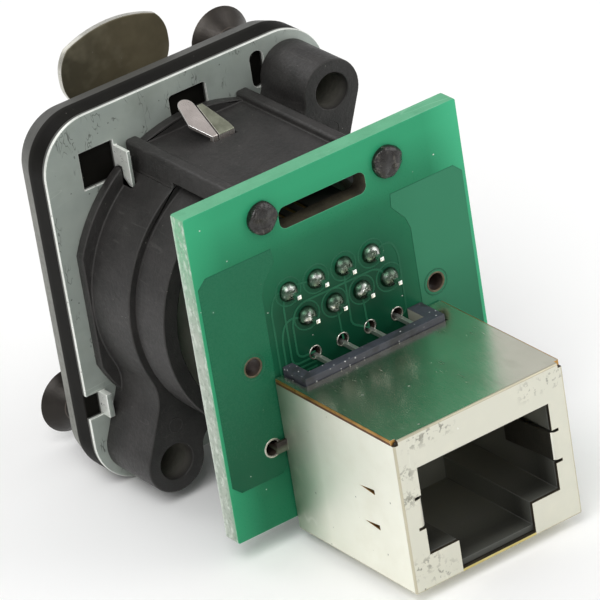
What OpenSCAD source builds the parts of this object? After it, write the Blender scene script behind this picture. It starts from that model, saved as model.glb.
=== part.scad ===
// Panel-mount network connector: a round plug socket in a D-size flange, fed through a circuit board to a
// shielded jack at the rear. The origin is the centre of the flange's front face, the face that seats on the
// panel. +Y runs to the rear, +Z is up, and the release tab is at the top.

/* [Flange] */
// Width of the flange and of the ground plate behind it
flange_w = 26; // [25:0.5:30]
// Height of the flange and of the ground plate behind it
flange_h = 31; // [30:0.5:36]
// Thickness of the flange
flange_t = 3.6; // [3:0.1:5]
// Corner radius of the flange outline
flange_corner_r = 4.2; // [2.5:0.1:4.6]
// Depth of the bevel round the front edge
bevel_depth = 1.7; // [0.5:0.1:2]
// Inset of the front face caused by the bevel
bevel_inset = 0.45; // [0.1:0.05:0.8]
// Diameter of the round socket for the plug's shell
bore_d = 18.6; // [18.5:0.1:18.9]
// Lead-in chamfer at the mouth of the round socket
bore_lead = 0.6; // [0.2:0.1:1]

/* [Screws] */
// Distance between the two screw axes across the flange
screw_pitch_x = 19; // [18.6:0.1:19.4]
// Distance between the two screw axes up the flange
screw_pitch_z = 24; // [23.6:0.1:24.6]
// Core diameter of a screw
screw_core_d = 2.6; // [2.2:0.1:2.8]
// Diameter of a screw's countersunk head
screw_head_d = 5.4; // [4.8:0.1:6]
// Height of a screw's head cone
screw_head_h = 1.4; // [1:0.1:1.8]
// Length of a screw, head included
screw_l = 12; // [10:0.5:14]
// How far the heads stand in front of the flange
screw_stand = 5; // [3:0.5:6]
// Diameter of the clearance holes in the flange and the ground plate
screw_hole_d = 3.3; // [3.1:0.1:3.6]

/* [Ground plate] */
// Thickness of the ground plate
plate_t = 0.5; // [0.3:0.1:0.8]
// Length of the finger bent back beside the square window
finger_l = 1.8; // [1.6:0.1:2.6]
// Length of the small lug bent back in the edge notch
lug_l = 1; // [0.6:0.1:1.4]
// Width and height of the square window
window_size = 3.1; // [2.8:0.1:3.4]

/* [Rear housing] */
// Diameter of the barrel
barrel_d = 22.9; // [22.4:0.1:23.4]
// Length of the barrel and its screw bosses behind the ground plate
barrel_l = 5.93; // [5.2:0.01:7]
// Diameter of the narrower band behind the barrel
band_d = 22; // [21.6:0.1:22.2]
// Length of the narrower band
band_l = 3.97; // [3:0.01:5]
// Thickness of the rim that seats on the ground plate
rim_t = 0.9; // [0.5:0.1:1.2]
// Outside diameter of a screw boss
boss_d = 5.1; // [4.6:0.1:5.6]
// Width of the flat deck along the top, over its two rails
deck_w = 11.4; // [10.8:0.1:11.8]
// Height of the deck above the axis
deck_z = 11.6; // [11.5:0.05:11.9]
// Height of a rail above the deck
rail_h = 0.55; // [0.3:0.05:0.7]

/* [Latch] */
// Thickness of the lever's sheet metal
lever_t = 0.6; // [0.5:0.05:0.7]
// Width of the release tab
tab_w = 10; // [8:0.5:12]
// Height of the tab's top above the axis
tab_top = 17.2; // [16.6:0.1:19]
// Distance of the tab's rear face in front of the flange
tab_stand = 5; // [4:0.1:6]
// Width of the lever's arm
arm_w = 6.4; // [5.8:0.1:6.8]
// Width of the hook
hook_w = 3.2; // [2:0.1:4]
// Reach of the hook below the arm
hook_drop = 0.8; // [0.6:0.1:1]
// Diameter of the pivot pin
pin_d = 1.2; // [1:0.05:1.3]
// Angle through which the lever lifts
press_angle = 5; // [3:0.5:5]
// Thickness of the leaf spring
spring_t = 0.25; // [0.15:0.05:0.3]

/* [Circuit board] */
// Width of the circuit board
board_w = 24.9; // [24:0.1:26]
// Height of the circuit board
board_h = 27.3; // [26.6:0.1:28]
// Thickness of the circuit board
board_t = 1.6; // [1.2:0.1:2]
// Distance from the ground plate's rear face to the board's front face
board_stand = 16.16; // [15.6:0.01:17]
// Distance between the two staked pegs
peg_pitch = 11.43; // [11.2:0.01:12]
// Diameter of a staked peg
peg_d = 2; // [1.6:0.1:2.1]

/* [Jacks] */
// Width of a plug opening
socket_w = 12.1; // [11.8:0.1:12.2]
// Height of a plug opening
socket_h = 7.3; // [7:0.1:7.4]
// Width of a latch slot below a plug opening
slot_w = 6.8; // [6.2:0.1:7]
// Spacing of the contact wires in a plug opening
contact_pitch = 1.016; // [1:0.004:1.032]
// Thickness of a contact wire
wire = 0.34; // [0.26:0.02:0.38]
// Depth of the front jack from its mouth to its back wall
front_jack_l = 11.4; // [10.8:0.1:11.8]
// Width of the rear jack's shield
shield_w = 15.5; // [15.3:0.1:16.2]
// Height of the rear jack's shield
shield_h = 12.9; // [12.7:0.1:13.4]
// Depth of the rear jack behind the circuit board
shield_l = 14.94; // [14:0.01:16]
// Thickness of the shield's sheet
shield_t = 0.3; // [0.2:0.02:0.34]

/* [Hidden] */
$fn = 32;
small_fn = 16;
eps = 0.02;

// Stations along Y, from the flange's front face to the rear jack's mouth
plate_y = flange_t;
rear_y = plate_y + plate_t;
barrel_end = rear_y + barrel_l;
band_end = barrel_end + band_l;
board_y = rear_y + board_stand;
board_back = board_y + board_t;
shield_end = board_back + shield_l;

// Clearances: round the jacks, beside the arm, round the lugs, in the pin's hole, in the lever's eyes,
// round a screw, round a wire and round a peg
fit_gap = 0.05;
arm_gap = 0.4;
lug_gap = 0.12;
pin_gap = 0.01;
run_gap = 0.05;
thread_gap = 0.15;
wire_gap = 0.03;
peg_gap = 0.1;

// Round socket, closed by a floor through which the front jack stands
bore_r = bore_d / 2;
socket_short = 0.13;
socket_end = barrel_end - socket_short;
floor_t = 1.3;
floor_end = socket_end + floor_t;
recess_room = 0.4;
recess_r = bore_r + recess_room;
plate_room = 0.2;
plate_bore_r = bore_r + plate_room;

// Screws: the upper one is at -X, the lower one at +X
screw_axes = [[-screw_pitch_x / 2, screw_pitch_z / 2], [screw_pitch_x / 2, -screw_pitch_z / 2]];
pilot_d = screw_core_d + 2 * thread_gap;
screw_tip_l = 1.2;
cross_w = 0.7;
cross_l = 2.9;
cross_depth = 0.8;

// Latch lever: the pivot lies behind the socket's floor, under the deck
arm_clear = 0.3;
arm_z = bore_r + arm_clear;
arm_top = arm_z + lever_t;
pivot_set_back = 1.1;
pivot_y = socket_end + pivot_set_back;
pivot_z = arm_z + lever_t / 2;
eye_wall = 0.35;
eye_r = pin_d / 2 + run_gap + eye_wall;
eye_w = 1.2;
hook_set_back = 0.9;
hook_y = rear_y + hook_set_back;
channel_w = arm_w + 2 * arm_gap;
deck_t = 0.55;
channel_top = deck_z - deck_t;
mouth_top = arm_top + pivot_y * sin(press_angle) + arm_gap;
eye_room = 0.1;
pin_seat = 1;
pin_l = channel_w + 2 * pin_seat;
neck_h = 1.2;
tab_low = arm_z + neck_h;
tab_corner_r = 3;
tab_crown_r = 10;

// Leaf spring: a tongue and a narrower leg above the deck, a foot down through the deck's slit and a toe
// under the deck. From above, a point of a leg has its place across and its share of the leg's run
slit_set_back = 4.65;
slit_y = rear_y + slit_set_back;
slit_l = 0.6;
slit_room = 0.1;
spring_set_back = 0.8;
spring_front = rear_y + spring_set_back;
spring_rise = 2;
tongue_mid = 0.72;
tongue_r = 0.65;
tongue_left = [[1.37, 0], [1.75, 0.45], [0.8, 1]];
tongue_right = [[0.4, 1], [0.07, 0]];
leg_front_share = 0.25;
leg_left = [[-0.02, 0], [0.22, 0.8], [0.28, 1]];
leg_right = [[-1.15, 1], [-1.1, 0.75], [-0.5, 0]];
foot_x = [leg_right[0][0], tongue_left[2][0]];
toe_l = 1.6;

// Rear housing: rim, neck between barrel and band, sweeps of the bosses' webs, deck, rails and pegs
rim_r = 12.55;
rim_side = 0.2;
neck_l = 0.28;
neck_depth = 0.22;
neck_d = band_d - 2 * neck_depth;
boss_r = boss_d / 2;
barrel_r = barrel_d / 2;
sweep_r = 3.6;
sweep_angle = 24;
inner_sweep_r = 1.6;
rail_w = 1.1;
rail_round = 0.3;
deck_skirt = 1.25;
skirt_z = deck_z - deck_skirt;
post_wall = 0.2;
post_d = peg_d + 2 * post_wall;
post_l = 2.2;
peg_z = 11.35;
peg_spread = 0.45;
peg_head_d = peg_d + peg_spread;
peg_head_h = 0.55;
peg_head_taper = 0.8;

// Ground plate: windows, slot, notch, finger and lug
window_pos = [6.75, 9.5];
top_window = [3.4, 2];
top_window_pos = [-0.4, 13];
top_window_r = 0.3;
boss_slot = [1.25, 3];
boss_slot_off = [2.55, 1.1];
boss_slot_pos = screw_axes[0] + boss_slot_off;
notch_z = [-9, -7];
notch_d = 1.2;
finger_t = 0.3;
finger_root = 1.6;
finger_tip_l = 1.1;
finger_below = 0.5;
finger_drop = 0.4;
finger_low = window_pos[1] - finger_drop;
finger_top = window_pos[1] + window_size - finger_below;

// Circuit board
board_mid = [-0.15, 0.15];
board_corner_r = 0.2;
board_slot = [7.9, 1.75];
board_slot_r = 0.6;
board_slot_pos = [0.25, 10.5];
guide_hole_d = 1.5;
guide_pitch = 17;

// Tails of both jacks in the circuit board
tail_pitch = 1.27;
tail_row_a = 4.65;
tail_row_b = tail_row_a - 2 * tail_pitch;
tail_hole_d = 0.9;
tail_out = 1.5;
tail_through = 0.75;
pin_row_c = -1.38;
hole_row_c = -1.1;
pin_row_d = -3.6;
rear_hole_d = 1;

// Contact wires: groove in the roof, bend behind the mouth, slot through the roof and slope into the opening
groove_room = 0.1;
groove_depth = wire + groove_room;
mouth_set_back = 0.9;
roof_slot_l = 2.2;
slope_l = 6.4;

// Front jack: it faces forward on the socket's axis
front_wall = 0.9;
front_roof = 1.95;
front_floor = 0.75;
front_slot_h = 1.6;
front_half_w = socket_w / 2 + front_wall;
front_z0 = -socket_h / 2 - front_slot_h - front_floor;
front_z1 = socket_h / 2 + front_roof;
leg_room = 1.36;
front_y1 = board_y - leg_room;
front_y0 = front_y1 - front_jack_l;
back_wall = 1;
foot = 1;
front_bend_y = front_y0 + mouth_set_back;
front_run_z = front_z1 - groove_depth + wire / 2;
front_knee = 1;
front_tip_z = 1.5;
leg_a = 0.3;
leg_b = 0.85;

// Rear jack: it faces the rear, a little to one side of the axis
rear_mid = -0.85;
shield_half = shield_w / 2;
shield_lift = 0.14;
shield_foot = board_back + shield_lift;
shield_top = -1.6;
shield_bottom = shield_top - shield_h;
insert_top = shield_top - shield_t - fit_gap;
insert_bottom = shield_bottom + shield_t + fit_gap;
insert_half = shield_half - shield_t - fit_gap;
insert_end = shield_end - shield_t - fit_gap;
rear_roof = 2.5;
socket_top = insert_top - rear_roof;
socket_low = socket_top - socket_h;
back_wall_l = 4;
socket_back = board_back + back_wall_l;
insert_floor = 0.5;
pocket_low = pin_row_d - 2 * wire;
ledge_x = [-6.05, 6.85];
ledge_arm_w = [1.3, 0.9];
pocket_x = [ledge_x[0] + ledge_arm_w[0], ledge_x[1] - ledge_arm_w[1]];
ledge_set_back = 2.1;
ledge_t = 0.9;
ledge_y0 = board_back + ledge_set_back;
ledge_y1 = ledge_y0 + ledge_t;
ledge_z = -1.05;
notch_room = 0.2;
leg_room_half = 3 * tail_pitch + wire;
rear_bend_y = insert_end - mouth_set_back;
rear_run_z = insert_top - groove_depth + wire / 2;
rear_knee = 1.4;
rear_tip_drop = 2.7;
rear_tip_z = socket_top - rear_tip_drop;
leg_c = ledge_y0 + ledge_t / 2;
leg_d_set_back = 0.85;
leg_d = board_back + leg_d_set_back;

// Shield: solder tabs, side springs with their slits, relief cuts at the upper corners, and lances
tab_z = -7.1;
tab_h = 0.9;
tab_out = 1.05;
tab_lean = 0.25;
tab_hole_d = 1.25;
spring_span = [-9.4, -6.85];
side_spring_l = 5.5;
side_spring_in = 0.4;
side_spring_t = 0.2;
side_spring_bend = 0.35;
slit_out = 0.6;
slit_h = 0.22;
relief = 0.4;
lance_l = 1.7;
lance_h = 0.4;
lance_set_in = 5.25;
lance_y = shield_end - lance_set_in;
lance_zs = [-7.1, -10.1];

// Solder domes: those on the rear face, and how much those on the front face differ
solder_r = 0.92;
solder_sink = 0.15;
rear_solder_share = 0.85;
rear_solder_r = solder_r * rear_solder_share;
shield_solder_share = 1.25;
shield_solder_r = solder_r * shield_solder_share;

WIRES = [1:8];
mid_wire = 4.5;
mid_column = 1.5;

// Wires are numbered from +X. Odd ones have their tails in a jack's upper row, even ones in its lower row
function is_upper(i) = i % 2 == 1;
function contact_x(i) = (mid_wire - i) * contact_pitch;
function front_tail(i) = [(mid_wire - i) * tail_pitch, is_upper(i) ? tail_row_a : tail_row_b];
function rear_column(i) = rear_mid + (mid_column - floor((i - 1) / 2)) * 2 * tail_pitch;
function rear_tail(i) = [rear_column(i), is_upper(i) ? pin_row_c : pin_row_d];
function rear_hole(i) = [rear_column(i), is_upper(i) ? hole_row_c : pin_row_d];
function shield_hole(side) = [rear_mid + side * (shield_half + tab_out), tab_z];
function shield_leg(side) = shield_hole(side) - [side * tab_lean, 0];
function polar(r, angle) = [r * cos(angle), r * sin(angle)];

// Centre of a round corner of radius r that touches both the barrel and the boss, on the boss's inner side
function inner_sweep(boss, r) =
    let (span = norm(boss), far = barrel_r + r, near = boss_r + r)
    let (along = (far * far - near * near + span * span) / (2 * span))
    let (across = sqrt(far * far - along * along), way = boss / span)
    way * along + [way[1], -way[0]] * across;

// Shared shapes: solids along Y or X from flat outlines, round bars along Y, and a block between two corners
module prism_y(y0, y1) {
    translate([0, y1, 0]) rotate([90, 0, 0]) linear_extrude(y1 - y0) children();
}

module prism_x(x0, x1) {
    translate([x0, 0, 0]) rotate([90, 0, 90]) linear_extrude(x1 - x0) children();
}

module cone_y(d0, d1, y0, y1, at = [0, 0]) {
    translate([at[0], y0, at[1]]) rotate([-90, 0, 0]) cylinder(d1 = d0, d2 = d1, h = y1 - y0);
}

module rod_y(d, y0, y1, at = [0, 0]) {
    cone_y(d, d, y0, y1, at);
}

module rod_x(d, x0, x1) {
    translate([x0, pivot_y, pivot_z]) rotate([0, 90, 0]) cylinder(d = d, h = x1 - x0);
}

module block(lo, hi) {
    translate(lo) cube(hi - lo);
}

module rounded_rect(size, r) {
    square([size[0] - 2 * r, size[1]], center = true);
    square([size[0], size[1] - 2 * r], center = true);
    for (sx = [-1, 1], sz = [-1, 1]) translate([sx * (size[0] / 2 - r), sz * (size[1] / 2 - r)]) circle(r);
}

// A bent strip: straight runs of one thickness with rounded corners
module strip(points, t) {
    for (k = [0:len(points) - 2]) {
        run = points[k + 1] - points[k];
        translate(points[k]) rotate(atan2(run[1], run[0])) translate([0, -t / 2]) square([norm(run), t]);
    }
    for (k = [1:len(points) - 2]) translate(points[k]) circle(d = t, $fn = small_fn);
}

module both_sides() {
    children();
    mirror([1, 0, 0]) children();
}

module screw_holes(d, y0, y1) {
    for (at = screw_axes) rod_y(d, y0, y1, at);
}

// Flange blank: rounded corners, and a bevel all round the front edge
module flange_blank() {
    w = flange_w / 2;
    h = flange_h / 2;
    r = flange_corner_r;
    prism_y(bevel_depth, flange_t) rounded_rect([flange_w, flange_h], r);
    for (sx = [-1, 1], sz = [-1, 1])
        cone_y(2 * (r - bevel_inset), 2 * r, 0, bevel_depth, [sx * (w - r), sz * (h - r)]);
    prism_x(r - w, w - r)
        polygon([[0, bevel_inset - h], [bevel_depth, -h], [bevel_depth, h], [0, h - bevel_inset]]);
    translate([0, 0, r - h]) linear_extrude(2 * (h - r))
        polygon([[bevel_inset - w, 0], [w - bevel_inset, 0], [w, bevel_depth], [-w, bevel_depth]]);
}

// Flange with the round socket's mouth and the channel for the latch arm
module front_flange() {
    color([0.13, 0.125, 0.12]) difference() {
        flange_blank();
        rod_y(bore_d, -eps, flange_t + eps);
        cone_y(bore_d + 2 * bore_lead, bore_d, -eps, bore_lead);
        block([-channel_w / 2, -eps, 0], [channel_w / 2, flange_t + eps, mouth_top]);
        screw_holes(screw_hole_d, -eps, flange_t + eps);
    }
}

// Spring finger of the ground plate: its root stands on the window's edge, and its tip hangs down behind
module plate_finger(gap = 0) {
    x0 = window_pos[0] - finger_t - gap;
    x1 = window_pos[0] + gap;
    y1 = rear_y + finger_l + gap;
    block([x0, plate_y, finger_top - finger_root - gap], [x1, y1, finger_top + gap]);
    block([x0, rear_y + finger_l - finger_tip_l - gap, finger_low - gap], [x1, y1, finger_top + gap]);
}

module plate_lug(gap = 0) {
    x = flange_w / 2 - notch_d;
    block([x - plate_t - gap, plate_y, notch_z[0] - gap], [x + gap, rear_y + lug_l + gap, notch_z[1] + gap]);
}

module plate_outline() {
    difference() {
        rounded_rect([flange_w, flange_h], flange_corner_r);
        circle(plate_bore_r);
        translate([-channel_w / 2, 0]) square([channel_w, mouth_top]);
        for (at = screw_axes) translate(at) circle(d = screw_hole_d);
        translate(window_pos) square(window_size);
        translate(top_window_pos) rounded_rect(top_window, top_window_r);
        translate(boss_slot_pos) rounded_rect(boss_slot, boss_slot[0] / 2 - eps);
        translate([flange_w / 2 - notch_d, notch_z[0]]) square([notch_d + eps, notch_z[1] - notch_z[0]]);
    }
}

// Ground plate: sheet behind the flange, with windows, an edge notch, a bent finger and a bent lug
module ground_plate() {
    color([0.6, 0.63, 0.6]) union() {
        prism_y(plate_y, rear_y) plate_outline();
        plate_finger();
        plate_lug();
    }
}

// One screw boss with its web, as the upper one lies: both sides of the web sweep into the barrel, the outer
// side from a straight run that leaves the boss at a tangent
module boss_outline() {
    boss = screw_axes[0];
    outer = polar(barrel_r + sweep_r, 180 - sweep_angle);
    inner = inner_sweep(boss, inner_sweep_r);
    way = boss - outer;
    lean = atan2(way[1], way[0]) - acos((sweep_r + boss_r) / norm(way));
    translate(boss) circle(boss_r);
    difference() {
        polygon([[0, 0], outer, outer + polar(sweep_r, lean), boss - polar(boss_r, lean), boss, inner]);
        translate(outer) circle(sweep_r);
        translate(inner) circle(inner_sweep_r);
    }
}

module barrel_outline() {
    circle(d = barrel_d);
    for (turn = [0, 180]) rotate(turn) boss_outline();
}

module rim_outline() {
    intersection() {
        circle(rim_r);
        square([barrel_d + 2 * rim_side, 2 * rim_r], center = true);
    }
}

// A rail along one edge of the deck, its top edges rounded
module rail_outline() {
    w = deck_w / 2;
    top = deck_z + rail_h;
    translate([w - rail_w, skirt_z]) square([rail_w, deck_skirt + rail_h - rail_round]);
    translate([w - rail_w + rail_round, skirt_z]) square([rail_w - 2 * rail_round, deck_skirt + rail_h]);
    for (x = [w - rail_w + rail_round, w - rail_round]) translate([x, top - rail_round]) circle(rail_round);
}

// A peg that holds the board: post in front of it, shaft through it and melted head behind it
module peg() {
    at = [peg_pitch / 2, peg_z];
    rod_y(post_d, board_y - post_l, board_y, at);
    rod_y(peg_d, board_y - eps, board_back + eps, at);
    cone_y(peg_head_d, peg_head_d * peg_head_taper, board_back, board_back + peg_head_h, at);
}

module housing_blank() {
    prism_y(rear_y, rear_y + rim_t) rim_outline();
    prism_y(rear_y, barrel_end) barrel_outline();
    rod_y(neck_d, barrel_end - eps, barrel_end + neck_l + eps);
    rod_y(band_d, barrel_end + neck_l, band_end);
    block([-deck_w / 2, rear_y, 0], [deck_w / 2, barrel_end, deck_z]);
    block([-deck_w / 2, barrel_end - eps, skirt_z], [deck_w / 2, board_y, deck_z]);
    block([-deck_w / 2 + rail_w, barrel_end - eps, 0], [deck_w / 2 - rail_w, band_end, deck_z]);
    both_sides() {
        prism_y(rear_y, board_y) rail_outline();
        peg();
    }
}

// Space for the lever: arm, eyes, and the open channel under the deck
module lever_room() {
    half = channel_w / 2;
    eye_low = pivot_z - eye_r - eye_room;
    eye_end = pivot_y + eye_r + arm_gap;
    block([-half, rear_y - eps, 0], [half, socket_end, channel_top]);
    block([-half, socket_end - eps, eye_low], [half, eye_end, channel_top]);
    block([-half, pivot_y, arm_z - arm_gap], [half, board_y + eps, channel_top]);
    rod_x(pin_d + 2 * pin_gap, -deck_w, pin_l / 2);
}

module spring_slit() {
    block([foot_x[0] - slit_room, slit_y - slit_l / 2, channel_top - eps],
        [foot_x[1] + slit_room, slit_y + slit_l / 2, deck_z + eps]);
}

// Rear housing: rim, barrel with bosses, band, and a railed deck that carries the board on two staked pegs
module rear_housing() {
    jack = [front_half_w + fit_gap, front_z0 - fit_gap, front_z1 + fit_gap];
    color([0.2, 0.195, 0.195]) difference() {
        housing_blank();
        rod_y(bore_d, rear_y - eps, socket_end);
        rod_y(2 * recess_r, floor_end, band_end + eps);
        block([-jack[0], socket_end - eps, jack[1]], [jack[0], floor_end + eps, jack[2]]);
        lever_room();
        spring_slit();
        screw_holes(pilot_d, rear_y - eps, barrel_end + eps);
        plate_finger(lug_gap);
        plate_lug(lug_gap);
    }
}

// Two countersunk screws, started in their bosses
module mounting_screws() {
    head_end = screw_head_h - screw_stand;
    tip = screw_l - screw_stand;
    color([0.23, 0.2, 0.18]) for (at = screw_axes) difference() {
        union() {
            cone_y(screw_head_d, screw_core_d, -screw_stand, head_end, at);
            rod_y(screw_core_d, head_end - eps, tip - screw_tip_l, at);
            cone_y(screw_core_d, screw_core_d / 3, tip - screw_tip_l, tip, at);
        }
        for (turn = [0, 90]) translate([at[0], -screw_stand, at[1]]) rotate([0, turn, 0])
            cube([cross_l, 2 * cross_depth, cross_w], center = true);
    }
}

// Release tab: a paddle with a crowned top on a neck as wide as the arm
module tab_outline() {
    intersection() {
        translate([0, (tab_low + tab_top) / 2]) rounded_rect([tab_w, tab_top - tab_low], tab_corner_r);
        translate([0, tab_top - tab_crown_r]) circle(tab_crown_r);
    }
    translate([-arm_w / 2, arm_z]) square([arm_w, tab_low - arm_z + tab_corner_r]);
}

// Latch lever: release tab, arm, hook, and two eyes on the pivot pin
module latch_lever() {
    half = arm_w / 2;
    inner = half - eye_w;
    gap_y = pivot_y - eye_r - eye_room;
    color([0.26, 0.24, 0.19]) difference() {
        union() {
            prism_y(-tab_stand - lever_t, -tab_stand) tab_outline();
            block([-half, -tab_stand - lever_t, arm_z], [half, pivot_y, arm_top]);
            block([-hook_w / 2, hook_y, arm_z - hook_drop], [hook_w / 2, hook_y + lever_t, arm_top]);
            both_sides() rod_x(2 * eye_r, inner, half);
        }
        rod_x(pin_d + 2 * run_gap, -arm_w, arm_w);
        block([-inner, gap_y, arm_z - eps], [inner, pivot_y + eye_r, arm_top + eps]);
    }
}

module latch_pin() {
    color([0.7, 0.7, 0.68]) rod_x(pin_d, -pin_l / 2, pin_l / 2);
}

// One leg of the leaf spring, cut from the sloping sheet by its outline as seen from above
module spring_leg(outline, y0) {
    low = deck_z + spring_t;
    slope = (spring_rise - spring_t) / (slit_y - spring_front);
    run = slit_y + spring_t - y0;
    intersection() {
        prism_x(-deck_w / 2, deck_w / 2) strip([[rear_y, low + slope * (slit_y - rear_y)], [slit_y, low],
            [slit_y, deck_z - 2 * spring_t]], spring_t);
        translate([0, 0, channel_top]) linear_extrude(deck_z) {
            polygon([for (p = outline) [p[0], y0 + p[1] * run]]);
            children();
        }
    }
}

// Leaf spring: a round-ended tongue and a narrower leg above the deck, joined by a foot and a toe below it
module latch_spring() {
    toe_z = channel_top - spring_t;
    tongue_y = spring_front + tongue_r;
    color([0.8, 0.79, 0.76]) union() {
        spring_leg(concat(tongue_left, tongue_right), tongue_y)
            translate([tongue_mid, tongue_y]) circle(tongue_r);
        spring_leg(concat(leg_left, leg_right), spring_front + leg_front_share * (slit_y - spring_front));
        prism_x(foot_x[0], foot_x[1])
            strip([[slit_y, deck_z - spring_t], [slit_y, toe_z], [slit_y - toe_l, toe_z]], spring_t);
    }
}

// Circuit board with its holes for both jacks, the pegs and the shield's tabs
module circuit_board() {
    color([0.12, 0.5, 0.33]) prism_y(board_y, board_back) difference() {
        translate(board_mid) rounded_rect([board_w, board_h], board_corner_r);
        translate(board_slot_pos) rounded_rect(board_slot, board_slot_r);
        both_sides() {
            translate([peg_pitch / 2, peg_z]) circle(d = peg_d + 2 * peg_gap);
            translate([guide_pitch / 2, 0]) circle(d = guide_hole_d, $fn = small_fn);
        }
        for (i = WIRES) {
            translate(front_tail(i)) circle(d = tail_hole_d, $fn = small_fn);
            translate(rear_hole(i)) circle(d = rear_hole_d, $fn = small_fn);
        }
        for (side = [-1, 1]) translate(shield_hole(side)) circle(d = tab_hole_d, $fn = small_fn);
    }
}

// A plug opening with its latch slot, hung from the middle of its top edge
module socket_outline(slot_depth) {
    translate([-socket_w / 2, -socket_h]) square([socket_w, socket_h]);
    translate([-slot_w / 2, -socket_h - slot_depth]) square([slot_w, slot_depth + socket_h]);
}

module front_wire_cuts(x) {
    half = wire / 2 + wire_gap;
    y0 = front_bend_y - wire;
    block([x - half, y0, front_z1 - groove_depth], [x + half, front_y1 + eps, front_z1 + eps]);
    block([x - half, y0, socket_h / 2 - eps], [x + half, y0 + wire + roof_slot_l, front_z1 + eps]);
}

// Front jack: moulded block with the plug opening, wire grooves in its roof and four feet on the board
module front_jack_housing() {
    inner = front_half_w - foot;
    color([0.09, 0.09, 0.095]) difference() {
        union() {
            block([-front_half_w, front_y0, front_z0], [front_half_w, front_y1, front_z1]);
            both_sides() for (z = [front_z0, front_z1 - foot])
                block([inner, front_y1 - eps, z], [front_half_w, board_y, z + foot]);
        }
        prism_y(front_y0 - eps, front_y1 - back_wall)
            translate([0, socket_h / 2]) socket_outline(front_slot_h);
        for (i = WIRES) front_wire_cuts(contact_x(i));
    }
}

// One wire of the front jack: tail in the board, leg, run along the roof and hairpin into the opening
module front_contact(i) {
    h = wire / 2;
    x = contact_x(i);
    tail = front_tail(i);
    leg_y = front_y1 + (is_upper(i) ? leg_a : leg_b);
    leg_x = is_upper(i) ? x : tail[0];
    jog_z = is_upper(i) ? tail[1] : front_run_z;
    color([0.85, 0.7, 0.35]) union() {
        prism_x(x - h, x + h) strip([[leg_y + h, front_run_z], [front_bend_y, front_run_z],
            [front_bend_y, front_run_z - front_knee], [front_bend_y + slope_l, front_tip_z]], wire);
        block([leg_x - h, leg_y - h, tail[1] - h], [leg_x + h, leg_y + h, front_run_z + h]);
        block([min(x, tail[0]) - h, leg_y - h, jog_z - h], [max(x, tail[0]) + h, leg_y + h, jog_z + h]);
        block([tail[0] - h, leg_y - h, tail[1] - h], [tail[0] + h, board_back + tail_out, tail[1] + h]);
    }
}

// A dome of solder on the board, with a hole of the tail's own section; it stands on +Y or, turned, on -Y
module solder_dome(r, hole_at, y, tail_at, tail_size) {
    lo = tail_at - tail_size / 2;
    hi = tail_at + tail_size / 2;
    difference() {
        translate([hole_at[0], abs(y), hole_at[1]]) rotate([0, 0, y < 0 ? 180 : 0]) intersection() {
            translate([0, -solder_sink, 0]) sphere(r, $fn = small_fn);
            rotate([-90, 0, 0]) cylinder(r = 2 * r, h = 2 * r, $fn = small_fn);
        }
        block([lo[0], abs(y) - 2 * r, lo[1]], [hi[0], abs(y) + 2 * r, hi[1]]);
    }
}

// Solder on the rear face of the board, one dome round each tail of the front jack
module front_jack_solder() {
    color([0.85, 0.86, 0.86]) for (i = WIRES)
        solder_dome(solder_r, front_tail(i), board_back, front_tail(i), [wire, wire]);
}

// One side spring of the shield, folded inward from the end sheet between two slits beside the plug opening
module side_spring() {
    x = socket_w / 2;
    y = shield_end - side_spring_t / 2;
    r = side_spring_bend;
    bend = [for (a = [90:30:180]) [x + r, y - r] + polar(r, a)];
    root = [x + slit_out + side_spring_t, y];
    tip = [x - side_spring_in, shield_end - side_spring_l];
    translate([0, 0, spring_span[0] + slit_h / 2]) linear_extrude(spring_span[1] - spring_span[0] - slit_h)
        strip(concat([root], bend, [tip]), side_spring_t);
}

// One solder tab of the shield: it steps outward from the side and goes through the board
module shield_tab() {
    x = shield_half + tab_out - tab_lean;
    y1 = shield_foot + shield_t;
    t = shield_t / 2;
    h = tab_h / 2;
    block([shield_half - shield_t, shield_foot, tab_z - h], [x + t, y1, tab_z + h]);
    block([x - t, board_y - tail_through, tab_z - h / 2], [x + t, y1, tab_z + h / 2]);
}

// Folded box of the shield: open to the board, notched round the ledge, with the plug opening in its end
module shield_box() {
    difference() {
        block([-shield_half, shield_foot, shield_bottom], [shield_half, shield_end, shield_top]);
        block([shield_t - shield_half, shield_foot - eps, shield_bottom + shield_t],
            [shield_half - shield_t, shield_end - shield_t, shield_top - shield_t]);
        block([ledge_x[0] - notch_room, shield_foot - eps, shield_top - 2 * shield_t],
            [ledge_x[1] + notch_room, ledge_y1 + fit_gap, shield_top + eps]);
        both_sides() block([shield_half - relief, shield_end - relief, shield_top - relief],
            [shield_half + eps, shield_end + eps, shield_top + eps]);
        prism_y(shield_end - 2 * shield_t, shield_end + eps) {
            translate([0, socket_top]) socket_outline(socket_low - shield_bottom - shield_t);
            translate([0, (spring_span[0] + spring_span[1]) / 2])
                square([socket_w + 2 * slit_out, spring_span[1] - spring_span[0] + slit_h], center = true);
        }
        for (z = lance_zs) translate([0, lance_y, z]) prism_x(-shield_w, shield_w)
            polygon([[0, 0], [lance_l, -lance_h / 2], [lance_l, lance_h / 2]]);
    }
}

// Shield of the rear jack, with two side springs and two solder tabs
module rear_jack_shield() {
    color([0.84, 0.84, 0.79]) translate([rear_mid, 0, 0]) union() {
        shield_box();
        both_sides() {
            side_spring();
            shield_tab();
        }
    }
}

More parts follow.
